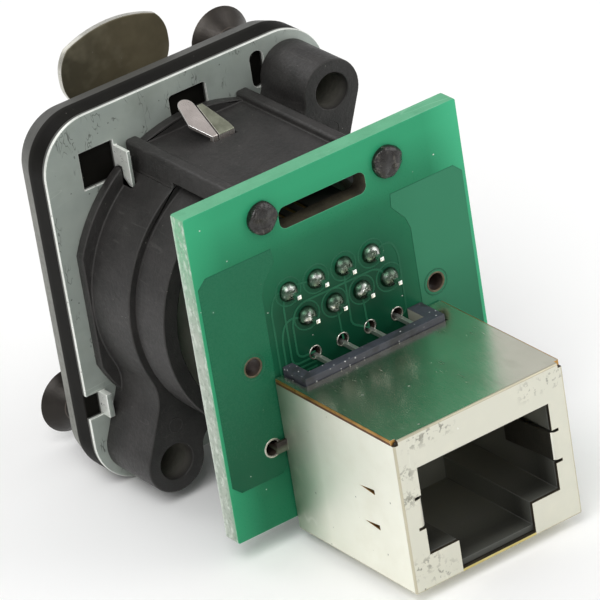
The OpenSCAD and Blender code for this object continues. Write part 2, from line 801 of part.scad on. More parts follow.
// Cuts for one wire of the rear jack: roof groove, slot through the roof, and the tail's slot in the ledge
module rear_wire_cuts(i) {
    half = wire / 2 + wire_gap;
    x = rear_mid + contact_x(i);
    tail = rear_tail(i);
    y1 = rear_bend_y + wire;
    block([x - half, ledge_y0 - eps, insert_top - groove_depth], [x + half, y1, insert_top]);
    block([x - half, y1 - wire - roof_slot_l, socket_top - eps], [x + half, y1, insert_top + eps]);
    if (is_upper(i))
        block([tail[0] - half, ledge_y0 - eps, insert_top - eps], [tail[0] + half, leg_c, tail[1] + half]);
}

module insert_blank() {
    block([-insert_half, board_back, insert_bottom], [insert_half, insert_end, insert_top]);
    block([ledge_x[0], board_back, insert_top - eps], [ledge_x[1], ledge_y1, ledge_z]);
}

// Room in the insert for the side springs, for the tails behind the board and for the legs under the ledge
module insert_pockets() {
    x = socket_w / 2;
    half = wire / 2 + wire_gap;
    both_sides() block([x - eps, insert_end - side_spring_l, spring_span[0] - fit_gap],
        [x + side_spring_t + fit_gap, insert_end + eps, spring_span[1] + fit_gap]);
    block([pocket_x[0], board_back - eps, pocket_low], [pocket_x[1], ledge_y0, ledge_z + eps]);
    block([-leg_room_half, leg_c - half, insert_top - eps], [leg_room_half, leg_c + half, pin_row_c + half]);
}

// Insert of the rear jack: moulded block with the plug opening, a ledge over the tails and wire grooves
module rear_jack_housing() {
    color([0.11, 0.11, 0.115]) difference() {
        translate([rear_mid, 0, 0]) insert_blank();
        translate([rear_mid, 0, 0]) insert_pockets();
        prism_y(socket_back, insert_end + eps) translate([rear_mid, socket_top])
            socket_outline(socket_low - insert_bottom - insert_floor);
        for (i = WIRES) rear_wire_cuts(i);
    }
}

// One wire of the rear jack: tail in the board, leg, run along the roof and hairpin into the opening
module rear_contact(i) {
    h = wire / 2;
    x = rear_mid + contact_x(i);
    tail = rear_tail(i);
    leg_y = is_upper(i) ? leg_c : leg_d;
    z0 = min(tail[1], rear_run_z);
    z1 = max(tail[1], rear_run_z);
    color([0.86, 0.78, 0.55]) union() {
        prism_x(x - h, x + h) strip([[leg_y - h, rear_run_z], [rear_bend_y, rear_run_z],
            [rear_bend_y, rear_run_z - rear_knee], [rear_bend_y - slope_l, rear_tip_z]], wire);
        block([x - h, leg_y - h, z0 - h], [x + h, leg_y + h, z1 + h]);
        block([min(x, tail[0]) - h, leg_y - h, tail[1] - h], [max(x, tail[0]) + h, leg_y + h, tail[1] + h]);
        block([tail[0] - h, board_y - tail_through, tail[1] - h], [tail[0] + h, leg_y + h, tail[1] + h]);
    }
}

// Solder on the front face of the board, one dome round each tail of the rear jack
module rear_jack_solder() {
    color([0.83, 0.84, 0.84]) for (i = WIRES)
        solder_dome(rear_solder_r, rear_hole(i), -board_y, rear_tail(i), [wire, wire]);
}

// Solder on the front face of the board, one dome round each of the shield's tabs
module shield_solder() {
    color([0.83, 0.84, 0.84]) for (side = [-1, 1])
        solder_dome(shield_solder_r, shield_hole(side), -board_y, shield_leg(side), [shield_t, tab_h / 2]);
}

front_flange();
ground_plate();
rear_housing();
mounting_screws();
latch_lever();
latch_pin();
latch_spring();
circuit_board();
front_jack_housing();
front_jack_solder();
rear_jack_shield();
rear_jack_housing();
rear_jack_solder();
shield_solder();
for (i = WIRES) front_contact(i);
for (i = WIRES) rear_contact(i);
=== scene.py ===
"""Panel-mount network connector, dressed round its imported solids.

Each sub-assembly is a class. Its fields hold sizes in millimetres, its methods model meshes in millimetres, and
the workbench scales each finished mesh to metres, gives it its finishes and joins it to the body that carries it.
"""

import logging
import math
from collections.abc import Callable, Iterable, Sequence
from dataclasses import dataclass
from enum import Enum
from typing import ClassVar

import bmesh
import bpy
from mathutils import Matrix, Vector, noise
from mathutils.geometry import intersect_point_tri_2d, tessellate_polygon


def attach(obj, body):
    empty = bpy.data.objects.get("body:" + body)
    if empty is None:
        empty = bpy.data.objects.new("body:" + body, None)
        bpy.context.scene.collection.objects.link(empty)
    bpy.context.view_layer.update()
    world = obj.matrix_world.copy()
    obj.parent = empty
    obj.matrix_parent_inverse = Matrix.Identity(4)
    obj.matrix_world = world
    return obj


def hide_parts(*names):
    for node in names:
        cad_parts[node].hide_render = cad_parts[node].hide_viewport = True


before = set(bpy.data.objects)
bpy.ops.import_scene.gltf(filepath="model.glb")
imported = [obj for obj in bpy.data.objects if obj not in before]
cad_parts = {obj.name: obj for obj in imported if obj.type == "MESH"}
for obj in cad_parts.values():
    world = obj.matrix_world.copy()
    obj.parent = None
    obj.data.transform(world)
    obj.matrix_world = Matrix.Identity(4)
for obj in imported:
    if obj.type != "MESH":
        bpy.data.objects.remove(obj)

LOG = logging.getLogger("connector")
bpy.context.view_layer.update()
RIM = "rim"
MM = 0.001
SIDES = (-1, 1)
ALONG_Y = (0, 1, 0)
SCREW_X = 9.5
SCREW_AXES = ((-SCREW_X, 12.0), (SCREW_X, -12.0))

# Where the flat faces of the pieces round the latch are cut
LATCH_X, LATCH_Z = -0.4, 9.9
# Height of the pegs, and place of the board's rear face
PEG_Z, BOARD_BACK = 11.35, 21.86
# Share of a face's normal along an axis: the face lies across the axis, stands along it, or leans to one side
FLAT, STEEP, LEAN = 0.9, 0.5, 0.3
# Distances that tell a place from a limit beside it
TOUCH, NEAR, CLEAR = 0.01, 0.02, 0.1
# How far an added piece sinks into its ground, and the distance under which points are merged
SINK, WELD = 0.01, 0.0015
# Angles in degrees: under the first, faces join as one flat face; over the second, an edge is sharp
LEVEL, CREASE = 0.4, 38.0
# Pull of large faces on the shading of the edges between them
FACE_WEIGHT = 90
ROUND = {"offset_type": "OFFSET", "profile": 0.5, "material": -1}

Colour = tuple[int, int, int]
Tint = tuple[float, float, float, float]
Point = tuple[float, float]
Triple = tuple[float, float, float]
Socket = bpy.types.NodeSocket
Entry = bpy.types.NodeOutputs
Mesh = bmesh.types.BMesh
Face = bmesh.types.BMFace
Edge = bmesh.types.BMEdge


class Body(Enum):
    """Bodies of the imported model."""

    BASE = "base"
    LEVER = "lever"


class Slot(Enum):
    """Material slots of the record."""

    FLANGE = "flange_black"
    PLATE = "plate_steel"
    HOUSING = "charcoal_plastic"
    SCREW = "screw_steel"
    LEVER = "lever_steel"
    BRIGHT = "bright_steel"
    BOARD = "green_board"
    BLACK = "black_plastic"
    SOLDER = "solder"
    SHIELD = "nickel_shield"
    CONTACT = "contact_gold"


class Axis(Enum):
    """Axes of the shared frame."""

    X = 0
    Y = 1
    Z = 2


Cut = tuple[Axis, float]


class Effect(Enum):
    """Effects that several finishes share, each a node group."""

    GRAIN = "fine_grain"
    PATCHES = "soft_patches"
    SPECKS = "loose_specks"
    HAIRLINES = "hairline_marks"


def tone(colour: Colour) -> Tint:
    """Turns a display colour, 0 to 255, into the linear one that a shader takes, with full cover."""
    shares = (part / 255 for part in colour)
    return *(part / 12.92 if part <= 0.04045 else ((part + 0.055) / 1.055) ** 2.4 for part in shares), 1.0


class Graph:
    """A node tree with short calls that add nodes and join their sockets."""

    def __init__(self, tree: bpy.types.NodeTree) -> None:
        """Wraps a tree."""
        self.tree = tree

    def add(self, kind: str, feeds: dict[str | int, object] | None = None, **settings: object) -> bpy.types.Node:
        """Adds a node.

        Args:
            kind: Type name of the node, without its common prefix.
            feeds: Values or sockets for its inputs, by name or number.
            settings: Properties of the node.

        Returns:
            The new node.
        """
        node = self.tree.nodes.new("ShaderNode" + kind)
        for key, value in settings.items():
            setattr(node, key, value)
        for key, value in (feeds or {}).items():
            self.feed(node.inputs[key], value)
        return node

    def feed(self, target: Socket, value: object) -> None:
        """Joins a socket to an input, or sets the input's own value.

        Args:
            target: The input.
            value: The socket or value.
        """
        if isinstance(value, bpy.types.NodeSocket):
            self.tree.links.new(value, target)
        else:
            target.default_value = value

    def maths(self, operation: str, first: object, second: object = 0.0) -> Socket:
        """Joins two values or sockets by one operation."""
        return self.add("Math", {0: first, 1: second}, operation=operation).outputs[0]

    def span(self, value: object, low: object, high: object, start: float = 0.0, end: float = 1.0) -> Socket:
        """Stretches the range from low to high to the range from start to end, and holds it there."""
        feeds = {"Value": value, "From Min": low, "From Max": high, "To Min": start, "To Max": end}
        return self.add("MapRange", feeds).outputs["Result"]

    def tint(self, mask: Socket, below: object, above: object) -> Socket:
        """Mixes two colours by a mask."""
        return self.add("Mix", {0: mask, 6: below, 7: above}, data_type="RGBA").outputs[2]

    def level(self, mask: Socket, below: object, above: object) -> Socket:
        """Mixes two numbers by a mask."""
        return self.add("Mix", {0: mask, 2: below, 3: above}, data_type="FLOAT").outputs[0]


class EffectLibrary:
    """Builds the node group of each shared effect once.

    Attributes:
        INPUTS: Names of each effect's own inputs.
        DETAIL: Finer steps in each effect's noise.
        FALL: How much of each step's strength the next one keeps.
        BULK: Range that holds most of a noise.
        SOFT: Share of a speck's reach that is full.
        RARE: Threshold of the places with hairlines at no share.
        SPREAD: How far a full share lowers it.
        EDGE: Width of those places' soft edge.
    """

    INPUTS: ClassVar = {
        Effect.GRAIN: ("scale",),
        Effect.PATCHES: ("scale", "low", "high"),
        Effect.SPECKS: ("scale", "size", "share"),
        Effect.HAIRLINES: ("scale", "width", "share"),
    }
    DETAIL: ClassVar = {Effect.GRAIN: 4.0, Effect.PATCHES: 3.0, Effect.SPECKS: 2.0, Effect.HAIRLINES: 1.0}
    FALL: ClassVar = 0.6
    BULK: ClassVar = (0.3, 0.7)
    SOFT: ClassVar = 0.6
    RARE: ClassVar = 0.72
    SPREAD: ClassVar = 0.4
    EDGE: ClassVar = 0.06

    def __init__(self) -> None:
        """Starts with no group built."""
        self.groups: dict[Effect, bpy.types.NodeTree] = {}

    def group(self, effect: Effect) -> bpy.types.NodeTree:
        """Gives an effect's group, and builds it at its first use.

        Args:
            effect: The effect.

        Returns:
            Its node group, with a Vector and its own inputs, and a Mask output.
        """
        if effect not in self.groups:
            tree = bpy.data.node_groups.new(effect.value, "ShaderNodeTree")
            tree.interface.new_socket(name="Vector", in_out="INPUT", socket_type="NodeSocketVector")
            for name in self.INPUTS[effect]:
                tree.interface.new_socket(name=name.capitalize(), in_out="INPUT", socket_type="NodeSocketFloat")
            tree.interface.new_socket(name="Mask", in_out="OUTPUT", socket_type="NodeSocketFloat")
            entry = tree.nodes.new("NodeGroupInput").outputs
            leave = tree.nodes.new("NodeGroupOutput").inputs
            makers = {
                Effect.GRAIN: self._grain,
                Effect.PATCHES: self._patches,
                Effect.SPECKS: self._specks,
                Effect.HAIRLINES: self._hairlines,
            }
            graph = Graph(tree)
            graph.feed(leave["Mask"], makers[effect](graph, entry))
            self.groups[effect] = tree
        return self.groups[effect]

    def _clouds(self, graph: Graph, entry: Entry, effect: Effect, finer: float | None = None) -> Socket:
        """Noise of the effect's scale, or of a multiple of it.

        Args:
            graph: The group's tree.
            entry: Sockets of the group's inputs.
            effect: The effect.
            finer: The multiple.

        Returns:
            The noise's socket.
        """
        scale = graph.maths("MULTIPLY", entry["Scale"], finer) if finer else entry["Scale"]
        feeds = {"Vector": entry["Vector"], "Scale": scale, "Detail": self.DETAIL[effect], "Roughness": self.FALL}
        return graph.add("TexNoise", feeds).outputs[0]

    def _grain(self, graph: Graph, entry: Entry) -> Socket:
        """Even, fine noise from 0 to 1."""
        return graph.span(self._clouds(graph, entry, Effect.GRAIN), *self.BULK)

    def _patches(self, graph: Graph, entry: Entry) -> Socket:
        """Slow noise between two thresholds."""
        return graph.span(self._clouds(graph, entry, Effect.PATCHES), entry["Low"], entry["High"])

    def _specks(self, graph: Graph, entry: Entry) -> Socket:
        """Small uneven dots in a share of the cells.

        Args:
            graph: The group's tree.
            entry: Sockets of the group's inputs.

        Returns:
            The mask's socket.
        """
        ragged = self._clouds(graph, entry, Effect.SPECKS, finer=5.0)
        cells = graph.add("TexVoronoi", {"Vector": entry["Vector"], "Scale": entry["Scale"]}).outputs
        reach = graph.maths("MULTIPLY", entry["Size"], graph.span(ragged, *self.BULK, start=0.4, end=1.4))
        soft = graph.maths("MULTIPLY", reach, self.SOFT)
        chance = graph.add("SeparateColor", {"Color": cells["Color"]}).outputs[0]
        chosen = graph.maths("LESS_THAN", chance, entry["Share"])
        return graph.maths("MULTIPLY", graph.span(cells["Distance"], reach, soft), chosen)

    def _hairlines(self, graph: Graph, entry: Entry) -> Socket:
        """Thin lines, in scattered places, along the stretch of the vector.

        Args:
            graph: The group's tree.
            entry: Sockets of the group's inputs.

        Returns:
            The mask's socket.
        """
        waves = self._clouds(graph, entry, Effect.HAIRLINES)
        offset = graph.maths("ABSOLUTE", graph.maths("SUBTRACT", waves, 0.5))
        line = graph.span(offset, entry["Width"], 0.0)
        place = self._clouds(graph, entry, Effect.HAIRLINES, finer=0.37)
        edge = graph.maths("SUBTRACT", self.RARE, graph.maths("MULTIPLY", entry["Share"], self.SPREAD))
        return graph.maths("MULTIPLY", line, graph.span(place, edge, graph.maths("ADD", edge, self.EDGE)))


class FinishGraph(Graph):
    """The tree of one material, with places in millimetres and the shared effects."""

    def __init__(self, tree: bpy.types.NodeTree, library: EffectLibrary) -> None:
        """Wraps a material's tree, with the effects at hand.

        Args:
            tree: The tree.
            library: The effects.
        """
        super().__init__(tree)
        self.library = library
        self.local = self.add("TexCoord").outputs["Object"]

    def place(self, stretch: Triple = (1.0, 1.0, 1.0), turn: Triple = (0.0, 0.0, 0.0)) -> Socket:
        """Gives the place on the surface in millimetres.

        Args:
            stretch: Scale along each axis; a small one draws a pattern out.
            turn: Turn about each axis, in degrees.

        Returns:
            The vector's socket.
        """
        angles = [math.radians(part) for part in turn]
        feeds = {"Vector": self.local, "Rotation": angles, "Scale": [part / MM for part in stretch]}
        return self.add("Mapping", feeds).outputs["Vector"]

    def along(self, axis: Axis) -> Socket:
        """Gives the place along one axis, in millimetres."""
        return self.add("SeparateXYZ", {"Vector": self.place()}).outputs[axis.value]

    def effect(self, effect: Effect, vector: Socket, **inputs: float) -> Socket:
        """Adds a shared effect at a place, with values of its own inputs, and gives its mask."""
        feeds = {"Vector": vector} | {name.capitalize(): value for name, value in inputs.items()}
        return self.add("Group", feeds, node_tree=self.library.group(effect)).outputs["Mask"]


@dataclass(frozen=True)
class Layer:
    """A tint and gloss laid on a finish where the layer's mask covers it.

    Attributes:
        colour: Colour where the mask is full.
        roughness: Roughness where the mask is full.
        cover: Greatest share of the tint.
    """

    colour: Colour
    roughness: float
    cover: float

    def mask(self, graph: FinishGraph) -> Socket:
        """Gives the socket with the layer's mask."""
        raise NotImplementedError


@dataclass(frozen=True)
class Rim(Layer):
    """The rounded edges of a piece, from the attribute that the rounding leaves."""

    def mask(self, graph: FinishGraph) -> Socket:
        """Gives the socket with the layer's mask."""
        return graph.add("Attribute", attribute_name=RIM).outputs["Fac"]


@dataclass(frozen=True)
class Fade(Layer):
    """A soft change along one axis, from nothing at start to full at end."""

    axis: Axis
    start: float
    end: float

    def mask(self, graph: FinishGraph) -> Socket:
        """Gives the socket with the layer's mask."""
        return graph.span(graph.along(self.axis), self.start, self.end)


@dataclass(frozen=True, kw_only=True)
class SoftBox(Layer):
    """A soft-edged rectangle across X and Z: its middle, half sizes and the width of its edge."""

    middle: Point
    half: Point
    edge: float

    def mask(self, graph: FinishGraph) -> Socket:
        """Gives the socket with the layer's mask.

        Args:
            graph: The material's tree.

        Returns:
            The socket.
        """
        sides = []
        for axis, middle, half in zip((Axis.X, Axis.Z), self.middle, self.half):
            offset = graph.maths("ABSOLUTE", graph.maths("SUBTRACT", graph.along(axis), middle))
            sides.append(graph.span(offset, half + self.edge, half - self.edge))
        return graph.maths("MULTIPLY", *sides)


@dataclass(frozen=True, kw_only=True)
class Pattern(Layer):
    """A shared effect: cells per millimetre, and how the pattern is drawn out and turned."""

    effect: ClassVar[Effect]
    scale: float
    stretch: Triple = (1.0, 1.0, 1.0)
    turn: Triple = (0.0, 0.0, 0.0)

    def mask(self, graph: FinishGraph) -> Socket:
        """Gives the socket with the layer's mask."""
        inputs = {name: getattr(self, name) for name in EffectLibrary.INPUTS[self.effect]}
        return graph.effect(self.effect, graph.place(self.stretch, self.turn), **inputs)


@dataclass(frozen=True, kw_only=True)
class Specks(Pattern):
    """Dust, pits or flecks: size in cells, and share of the cells that hold one."""

    effect = Effect.SPECKS
    size: float
    share: float


@dataclass(frozen=True, kw_only=True)
class Hairlines(Pattern):
    """Scratches: width, and share of the surface."""

    effect = Effect.HAIRLINES
    width: float
    share: float


@dataclass(frozen=True, kw_only=True)
class Patches(Pattern):
    """Soft stains: the thresholds between which they come in."""

    effect = Effect.PATCHES
    low: float
    high: float


@dataclass(frozen=True, kw_only=True)
class Scuffs(Patches):
    """Ragged stains in a few places of a rear face.

    Attributes:
        places: Middles of the stains across X and Z.
        half: Their half sizes.
        edge: Width of their soft edge.
        rear: Range along Y in which they come in, up to the face.
    """

    places: tuple[Point, ...]
    half: Point
    edge: float
    rear: Point

    def mask(self, graph: FinishGraph) -> Socket:
        """Gives the socket with the layer's mask.

        Args:
            graph: The material's tree.

        Returns:
            The socket.
        """
        near = None
        for place in self.places:
            box = SoftBox(self.colour, self.roughness, self.cover, middle=place, half=self.half, edge=self.edge)
            mask = box.mask(graph)
            near = mask if near is None else graph.maths("MAXIMUM", near, mask)
        on_face = graph.span(graph.along(Axis.Y), *self.rear)
        return graph.maths("MULTIPLY", on_face, graph.maths("MULTIPLY", near, super().mask(graph)))


@dataclass(frozen=True)
class Finish:
    """A procedural finish.

    Attributes:
        name: Name of its material.
        colour: Main colour.
        shade: Colour that the main one drifts to.
        drift: Cells per millimetre of that slow change.
        gloss: Lowest and highest roughness.
        metallic: 1 for bare metal.
        specular: Level of the plain reflection.
        grain: Cells per millimetre of the fine grain.
        depth: Height of the grain, in millimetres.
        drawn: Stretch of the grain along each axis.
        layers: Tints and marks, from the lowest to the top one.
    """

    name: str
    colour: Colour
    shade: Colour
    drift: float
    gloss: Point
    metallic: float = 0.0
    specular: float = 0.5
    grain: float = 8.0
    depth: float = 0.004
    drawn: Triple = (1.0, 1.0, 1.0)
    layers: tuple[Layer, ...] = ()


class Paintshop:
    """Makes a material out of each finish, once. The slow change of colour comes in over a range of its noise."""

    SLOW: ClassVar = {"low": 0.32, "high": 0.68}

    def __init__(self) -> None:
        """Starts with no material made."""
        self.library = EffectLibrary()
        self.made: dict[str, bpy.types.Material] = {}

    def material(self, finish: Finish) -> bpy.types.Material:
        """Gives a finish's material.

        Args:
            finish: The finish.

        Returns:
            Its material, made at its first use.
        """
        if finish.name not in self.made:
            self.made[finish.name] = self._make(finish)
        return self.made[finish.name]

    def _make(self, finish: Finish) -> bpy.types.Material:
        """Builds a finish's node tree.

        Args:
            finish: The finish.

        Returns:
            The new material.
        """
        material = bpy.data.materials.new(finish.name)
        material.use_nodes = True
        material.diffuse_color = tone(finish.colour)
        material.node_tree.nodes.clear()
        graph = FinishGraph(material.node_tree, self.library)
        slow = graph.effect(Effect.PATCHES, graph.place(), scale=finish.drift, **self.SLOW)
        fine = graph.effect(Effect.GRAIN, graph.place(finish.drawn), scale=finish.grain)
        colour = graph.tint(slow, tone(finish.colour), tone(finish.shade))
        rough = graph.span(fine, 0.0, 1.0, *finish.gloss)
        for layer in finish.layers:
            mask = graph.maths("MULTIPLY", layer.mask(graph), layer.cover)
            colour = graph.tint(mask, colour, tone(layer.colour))
            rough = graph.level(mask, rough, layer.roughness)
        bump = graph.add("Bump", {"Height": fine, "Distance": finish.depth * MM})
        shader = graph.add("BsdfPrincipled", {
            "Base Color": colour, "Roughness": rough, "Normal": bump.outputs["Normal"],
            "Metallic": finish.metallic, "Specular IOR Level": finish.specular,
        })
        graph.add("OutputMaterial", {"Surface": shader.outputs["BSDF"]})
        return material


WHITE_DUST = Specks((232, 232, 224), 0.7, 0.8, scale=1.1, size=0.075, share=0.35)
PALE_DUST = Specks((150, 146, 140), 0.7, 0.7, scale=1.6, size=0.07, share=0.3)

# Black flange; its wall is painted lighter towards the front edge: painted sheen.
FLANGE_BLACK = Finish(
    "moulded_black", (22, 21, 18), (16, 15, 13), drift=0.3, gloss=(0.46, 0.56), specular=0.05, grain=10.0,
    depth=0.003, layers=(Fade((46, 45, 42), 0.5, 0.6, Axis.Y, 2.3, 1.5), PALE_DUST, Rim((40, 38, 36), 0.35, 0.4)),
)
# Bevel round the flange's front edge: the black flange painted grey as painted sheen, darker towards the top as
# painted shade.
FLANGE_BEVEL_SHEEN = Finish(
    "bevel_sheen", (122, 123, 115), (104, 105, 98), drift=0.4, gloss=(0.4, 0.5), specular=0.3, grain=10.0,
    layers=(
        Fade((68, 68, 65), 0.45, 0.9, Axis.Z, 7.5, 13.5),
        Patches((66, 66, 62), 0.5, 0.45, scale=2.4, low=0.52, high=0.64),
        PALE_DUST,
        Rim((70, 70, 66), 0.4, 0.6),
    ),
)
CHARCOAL = Finish(
    "moulded_charcoal", (51, 49, 48), (39, 38, 37), drift=0.45, gloss=(0.4, 0.56), specular=0.33, grain=3.6,
    depth=0.016,
    layers=(
        Hairlines((88, 86, 84), 0.55, 0.3, scale=1.2, width=0.012, share=0.5, stretch=(1.0, 0.15, 1.0)),
        PALE_DUST,
        Rim((58, 56, 54), 0.55, 0.3),
    ),
)
# Inside of the barrel and band: the charcoal plastic painted much lighter, as painted light.
INNER_WALL_LIT = Finish(
    "inner_painted_light", (158, 155, 144), (140, 138, 128), drift=0.4, gloss=(0.45, 0.6), specular=0.2, grain=5.0,
    depth=0.01,
)
# Walls and threads of the boss holes: the charcoal plastic painted lighter deep in the holes as painted light, back
# to its dark tone at the mouth.
TAPPED_LIT = Finish(
    "tapped_painted_light", (138, 136, 126), (124, 122, 112), drift=0.6, gloss=(0.4, 0.55), specular=0.2, grain=9.0,
    layers=(Fade((50, 48, 47), 0.45, 1.0, Axis.Y, 7.6, 9.9),),
)
MELTED = Finish(
    "melted_peg", (32, 29, 26), (22, 20, 18), drift=1.3, gloss=(0.16, 0.36), grain=1.4, depth=0.06,
    layers=(Patches((104, 100, 92), 0.3, 0.5, scale=1.2, low=0.58, high=0.66), PALE_DUST),
)
JACK_BLACK = Finish(
    "jack_black", (54, 54, 50), (47, 47, 44), drift=0.4, gloss=(0.36, 0.52), specular=0.25, grain=11.0,
    depth=0.003, layers=(Rim((96, 97, 94), 0.4, 0.35),),
)
INSERT_BLACK = Finish(
    "insert_black", (52, 52, 47), (47, 47, 43), drift=0.4, gloss=(0.42, 0.56), specular=0.2, grain=11.0,
    depth=0.003,
    layers=(
        # Painted light: the black insert painted lighter deep inside, towards the top and near the mouth.
        Fade((128, 129, 118), 0.5, 1.0, Axis.Y, 34.4, 26.0),
        Fade((146, 147, 134), 0.5, 0.8, Axis.Z, -8.5, -3.5),
        Fade((84, 85, 80), 0.42, 0.7, Axis.Y, 35.2, 36.3),
        Rim((96, 97, 94), 0.4, 0.35),
    ),
)
SLATE = Finish(
    "slate_ledge", (68, 71, 80), (56, 58, 66), drift=0.7, gloss=(0.4, 0.58), grain=9.0, depth=0.006,
    layers=(
        Patches((36, 38, 38), 0.5, 0.7, scale=0.5, low=0.5, high=0.64),
        Specks((214, 216, 216), 0.6, 0.85, scale=2.2, size=0.17, share=0.6),
    ),
)
PLATE_STEEL = Finish(
    "plated_steel", (176, 184, 176), (164, 172, 166), drift=0.25, gloss=(0.4, 0.52), metallic=0.35, grain=9.0,
    depth=0.002, drawn=(1.0, 1.0, 0.25),
    layers=(
        Patches((142, 148, 140), 0.5, 0.55, scale=0.22, low=0.52, high=0.7),
        Hairlines(
            (222, 228, 220), 0.3, 0.45, scale=0.9, width=0.014, share=0.45, stretch=(0.2, 1.0, 1.0),
            turn=(0.0, 24.0, 0.0),
        ),
        Hairlines((58, 58, 52), 0.6, 0.8, scale=2.2, width=0.03, share=0.34, stretch=(1.0, 1.0, 0.45)),
        Specks((58, 58, 54), 0.6, 0.75, scale=1.9, size=0.15, share=0.14),
        Rim((244, 246, 240), 0.25, 0.9),
    ),
)
PLATE_EDGE = Finish(
    "sheared_steel", (240, 242, 236), (214, 218, 210), drift=0.8, gloss=(0.25, 0.4), metallic=0.4, grain=7.0,
    drawn=(1.0, 0.3, 1.0),
    layers=(
        # Darker front part of the cut edge: partly the rough fracture zone of a punched edge, partly painted shade
        # beside the flange.
        Fade((34, 34, 30), 0.6, 0.92, Axis.Y, 3.9, 3.82),
        Specks((70, 66, 56), 0.6, 0.8, scale=1.7, size=0.16, share=0.18),
    ),
)
SCREW_BROWN = Finish(
    "oxide_screw", (62, 57, 51), (48, 43, 39), drift=0.8, gloss=(0.3, 0.45), metallic=0.5,
    # Darker towards the bottom, on the lower screw: painted shade.
    layers=(Fade((34, 30, 26), 0.4, 0.8, Axis.Z, 4.0, -10.0), Rim((112, 102, 94), 0.35, 0.4), PALE_DUST),
)
LEVER_OLIVE = Finish(
    "olive_lever", (112, 104, 82), (94, 87, 68), drift=0.35, gloss=(0.34, 0.46), metallic=0.3, specular=0.4,
    grain=9.0, depth=0.003,
    layers=(
        # Darker towards +X: painted shade.
        Fade((76, 73, 60), 0.4, 0.85, Axis.X, -1.0, 5.0),
        Patches((132, 126, 106), 0.35, 0.6, scale=0.3, low=0.5, high=0.7),
        PALE_DUST,
    ),
)
LEVER_EDGE = Finish(
    "lever_edge", (222, 221, 214), (176, 174, 164), drift=0.5, gloss=(0.25, 0.38), metallic=0.7, depth=0.003,
)
SPRING_BRIGHT = Finish(
    "bright_spring", (214, 204, 199), (190, 181, 176), drift=0.6, gloss=(0.24, 0.38), metallic=0.8, grain=7.0,
    depth=0.003, drawn=(1.0, 0.2, 1.0), layers=(Rim((250, 250, 248), 0.16, 0.9),),
)
# Narrower leg of the leaf spring: the same steel as the other leg, painted darker and greener as painted shade and
# reflection.
SPRING_SHADE = Finish(
    "spring_leg_shade", (150, 152, 134), (112, 114, 98), drift=0.9, gloss=(0.28, 0.42), metallic=0.5, grain=7.0,
    depth=0.003, drawn=(1.0, 0.2, 1.0), layers=(Rim((216, 214, 196), 0.2, 0.7),),
)
# Solder: the tin darkened and tinted green as painted reflection of the board.
SOLDER_TIN = Finish(
    "solder_tin", (116, 124, 112), (78, 90, 78), drift=1.1, gloss=(0.14, 0.26), metallic=1.0, grain=4.0,
    depth=0.014,
    layers=(
        # White patches: painted glints.
        Patches((250, 250, 246), 0.16, 0.9, scale=0.75, low=0.57, high=0.63),
        # Dark green foot: painted reflection of the board.
        Fade((58, 88, 70), 0.3, 0.9, Axis.Y, 22.5, 22.18),
    ),
)
HOLE_TIN = Finish(
    "hole_tin", (224, 222, 214), (176, 170, 160), drift=1.8, gloss=(0.14, 0.3), metallic=0.85, grain=6.0,
    depth=0.006,
)
CONTACT_GOLD = Finish(
    "contact_gold", (222, 186, 112), (206, 168, 94), drift=0.8, gloss=(0.16, 0.26), metallic=1.0, grain=10.0,
    depth=0.002, drawn=(1.0, 0.2, 1.0), layers=(Fade((238, 240, 234), 0.2, 1.0, Axis.Y, 19.0, 20.0),),
)
REAR_CONTACT = Finish(
    "tinned_contact", (222, 190, 122), (206, 172, 102), drift=0.8, gloss=(0.18, 0.3), metallic=0.8, grain=10.0,
    depth=0.002, drawn=(1.0, 0.2, 1.0), layers=(Fade((196, 202, 192), 0.28, 1.0, Axis.Y, 26.0, 25.0),),
)
END_SCUFFS = (
    (3.8, -2.15), (5.0, -2.2), (2.7, -2.15), (-7.4, -2.65), (-5.6, -2.65), (-8.1, -2.3), (5.4, -12.4),
    (6.5, -12.6), (4.2, -13.6), (6.5, -6.6), (6.5, -4.6),
)
NICKEL = Finish(
    "nickel_sheet", (252, 251, 240), (246, 245, 233), drift=0.2, gloss=(0.44, 0.54), metallic=1.0, grain=9.0,
    depth=0.0012, drawn=(1.0, 1.0, 0.15),
    layers=(
        # Greener and darker towards the board: painted reflection of the board.
        Fade((128, 152, 126), 0.5, 0.85, Axis.Y, 26.5, 22.0),
        # End face and the edge beside it a little darker: painted shade.
        Fade((222, 221, 207), 0.5, 1.0, Axis.Y, 36.6, 36.76),
        Patches((236, 233, 217), 0.54, 0.3, scale=0.35, low=0.5, high=0.72),
        Hairlines((250, 250, 242), 0.38, 0.4, scale=1.1, width=0.012, share=0.4, stretch=(0.8, 0.3, 0.1)),
        Scuffs(
            (124, 122, 110), 0.6, 0.7, scale=2.3, places=END_SCUFFS, half=(0.95, 0.5), low=0.53, high=0.6,
            edge=0.5, rear=(36.7, 36.78),
        ),
        Specks((98, 96, 88), 0.5, 0.75, scale=1.15, size=0.12, share=0.07),
        Specks((245, 246, 240), 0.6, 0.7, scale=0.9, size=0.09, share=0.12),
        Rim((188, 178, 150), 0.4, 0.7),
    ),
)
NICKEL_TOP = Finish(
    "nickel_top", (242, 240, 224), (232, 230, 214), drift=0.2, gloss=(0.19, 0.27), metallic=1.0, grain=7.0,
    depth=0.0016, drawn=(1.0, 0.15, 1.0),
    layers=(
        Patches((206, 204, 186), 0.3, 0.5, scale=0.3, low=0.5, high=0.72, stretch=(1.0, 0.4, 1.0)),
        Specks((235, 238, 230), 0.6, 0.8, scale=1.0, size=0.1, share=0.2),
        Rim((190, 182, 158), 0.34, 0.7),
    ),
)
LIP_BRASS = Finish(
    "lip_brass", (214, 202, 138), (196, 180, 112), drift=0.7, gloss=(0.26, 0.4), metallic=0.8,
    drawn=(0.2, 1.0, 1.0),
)
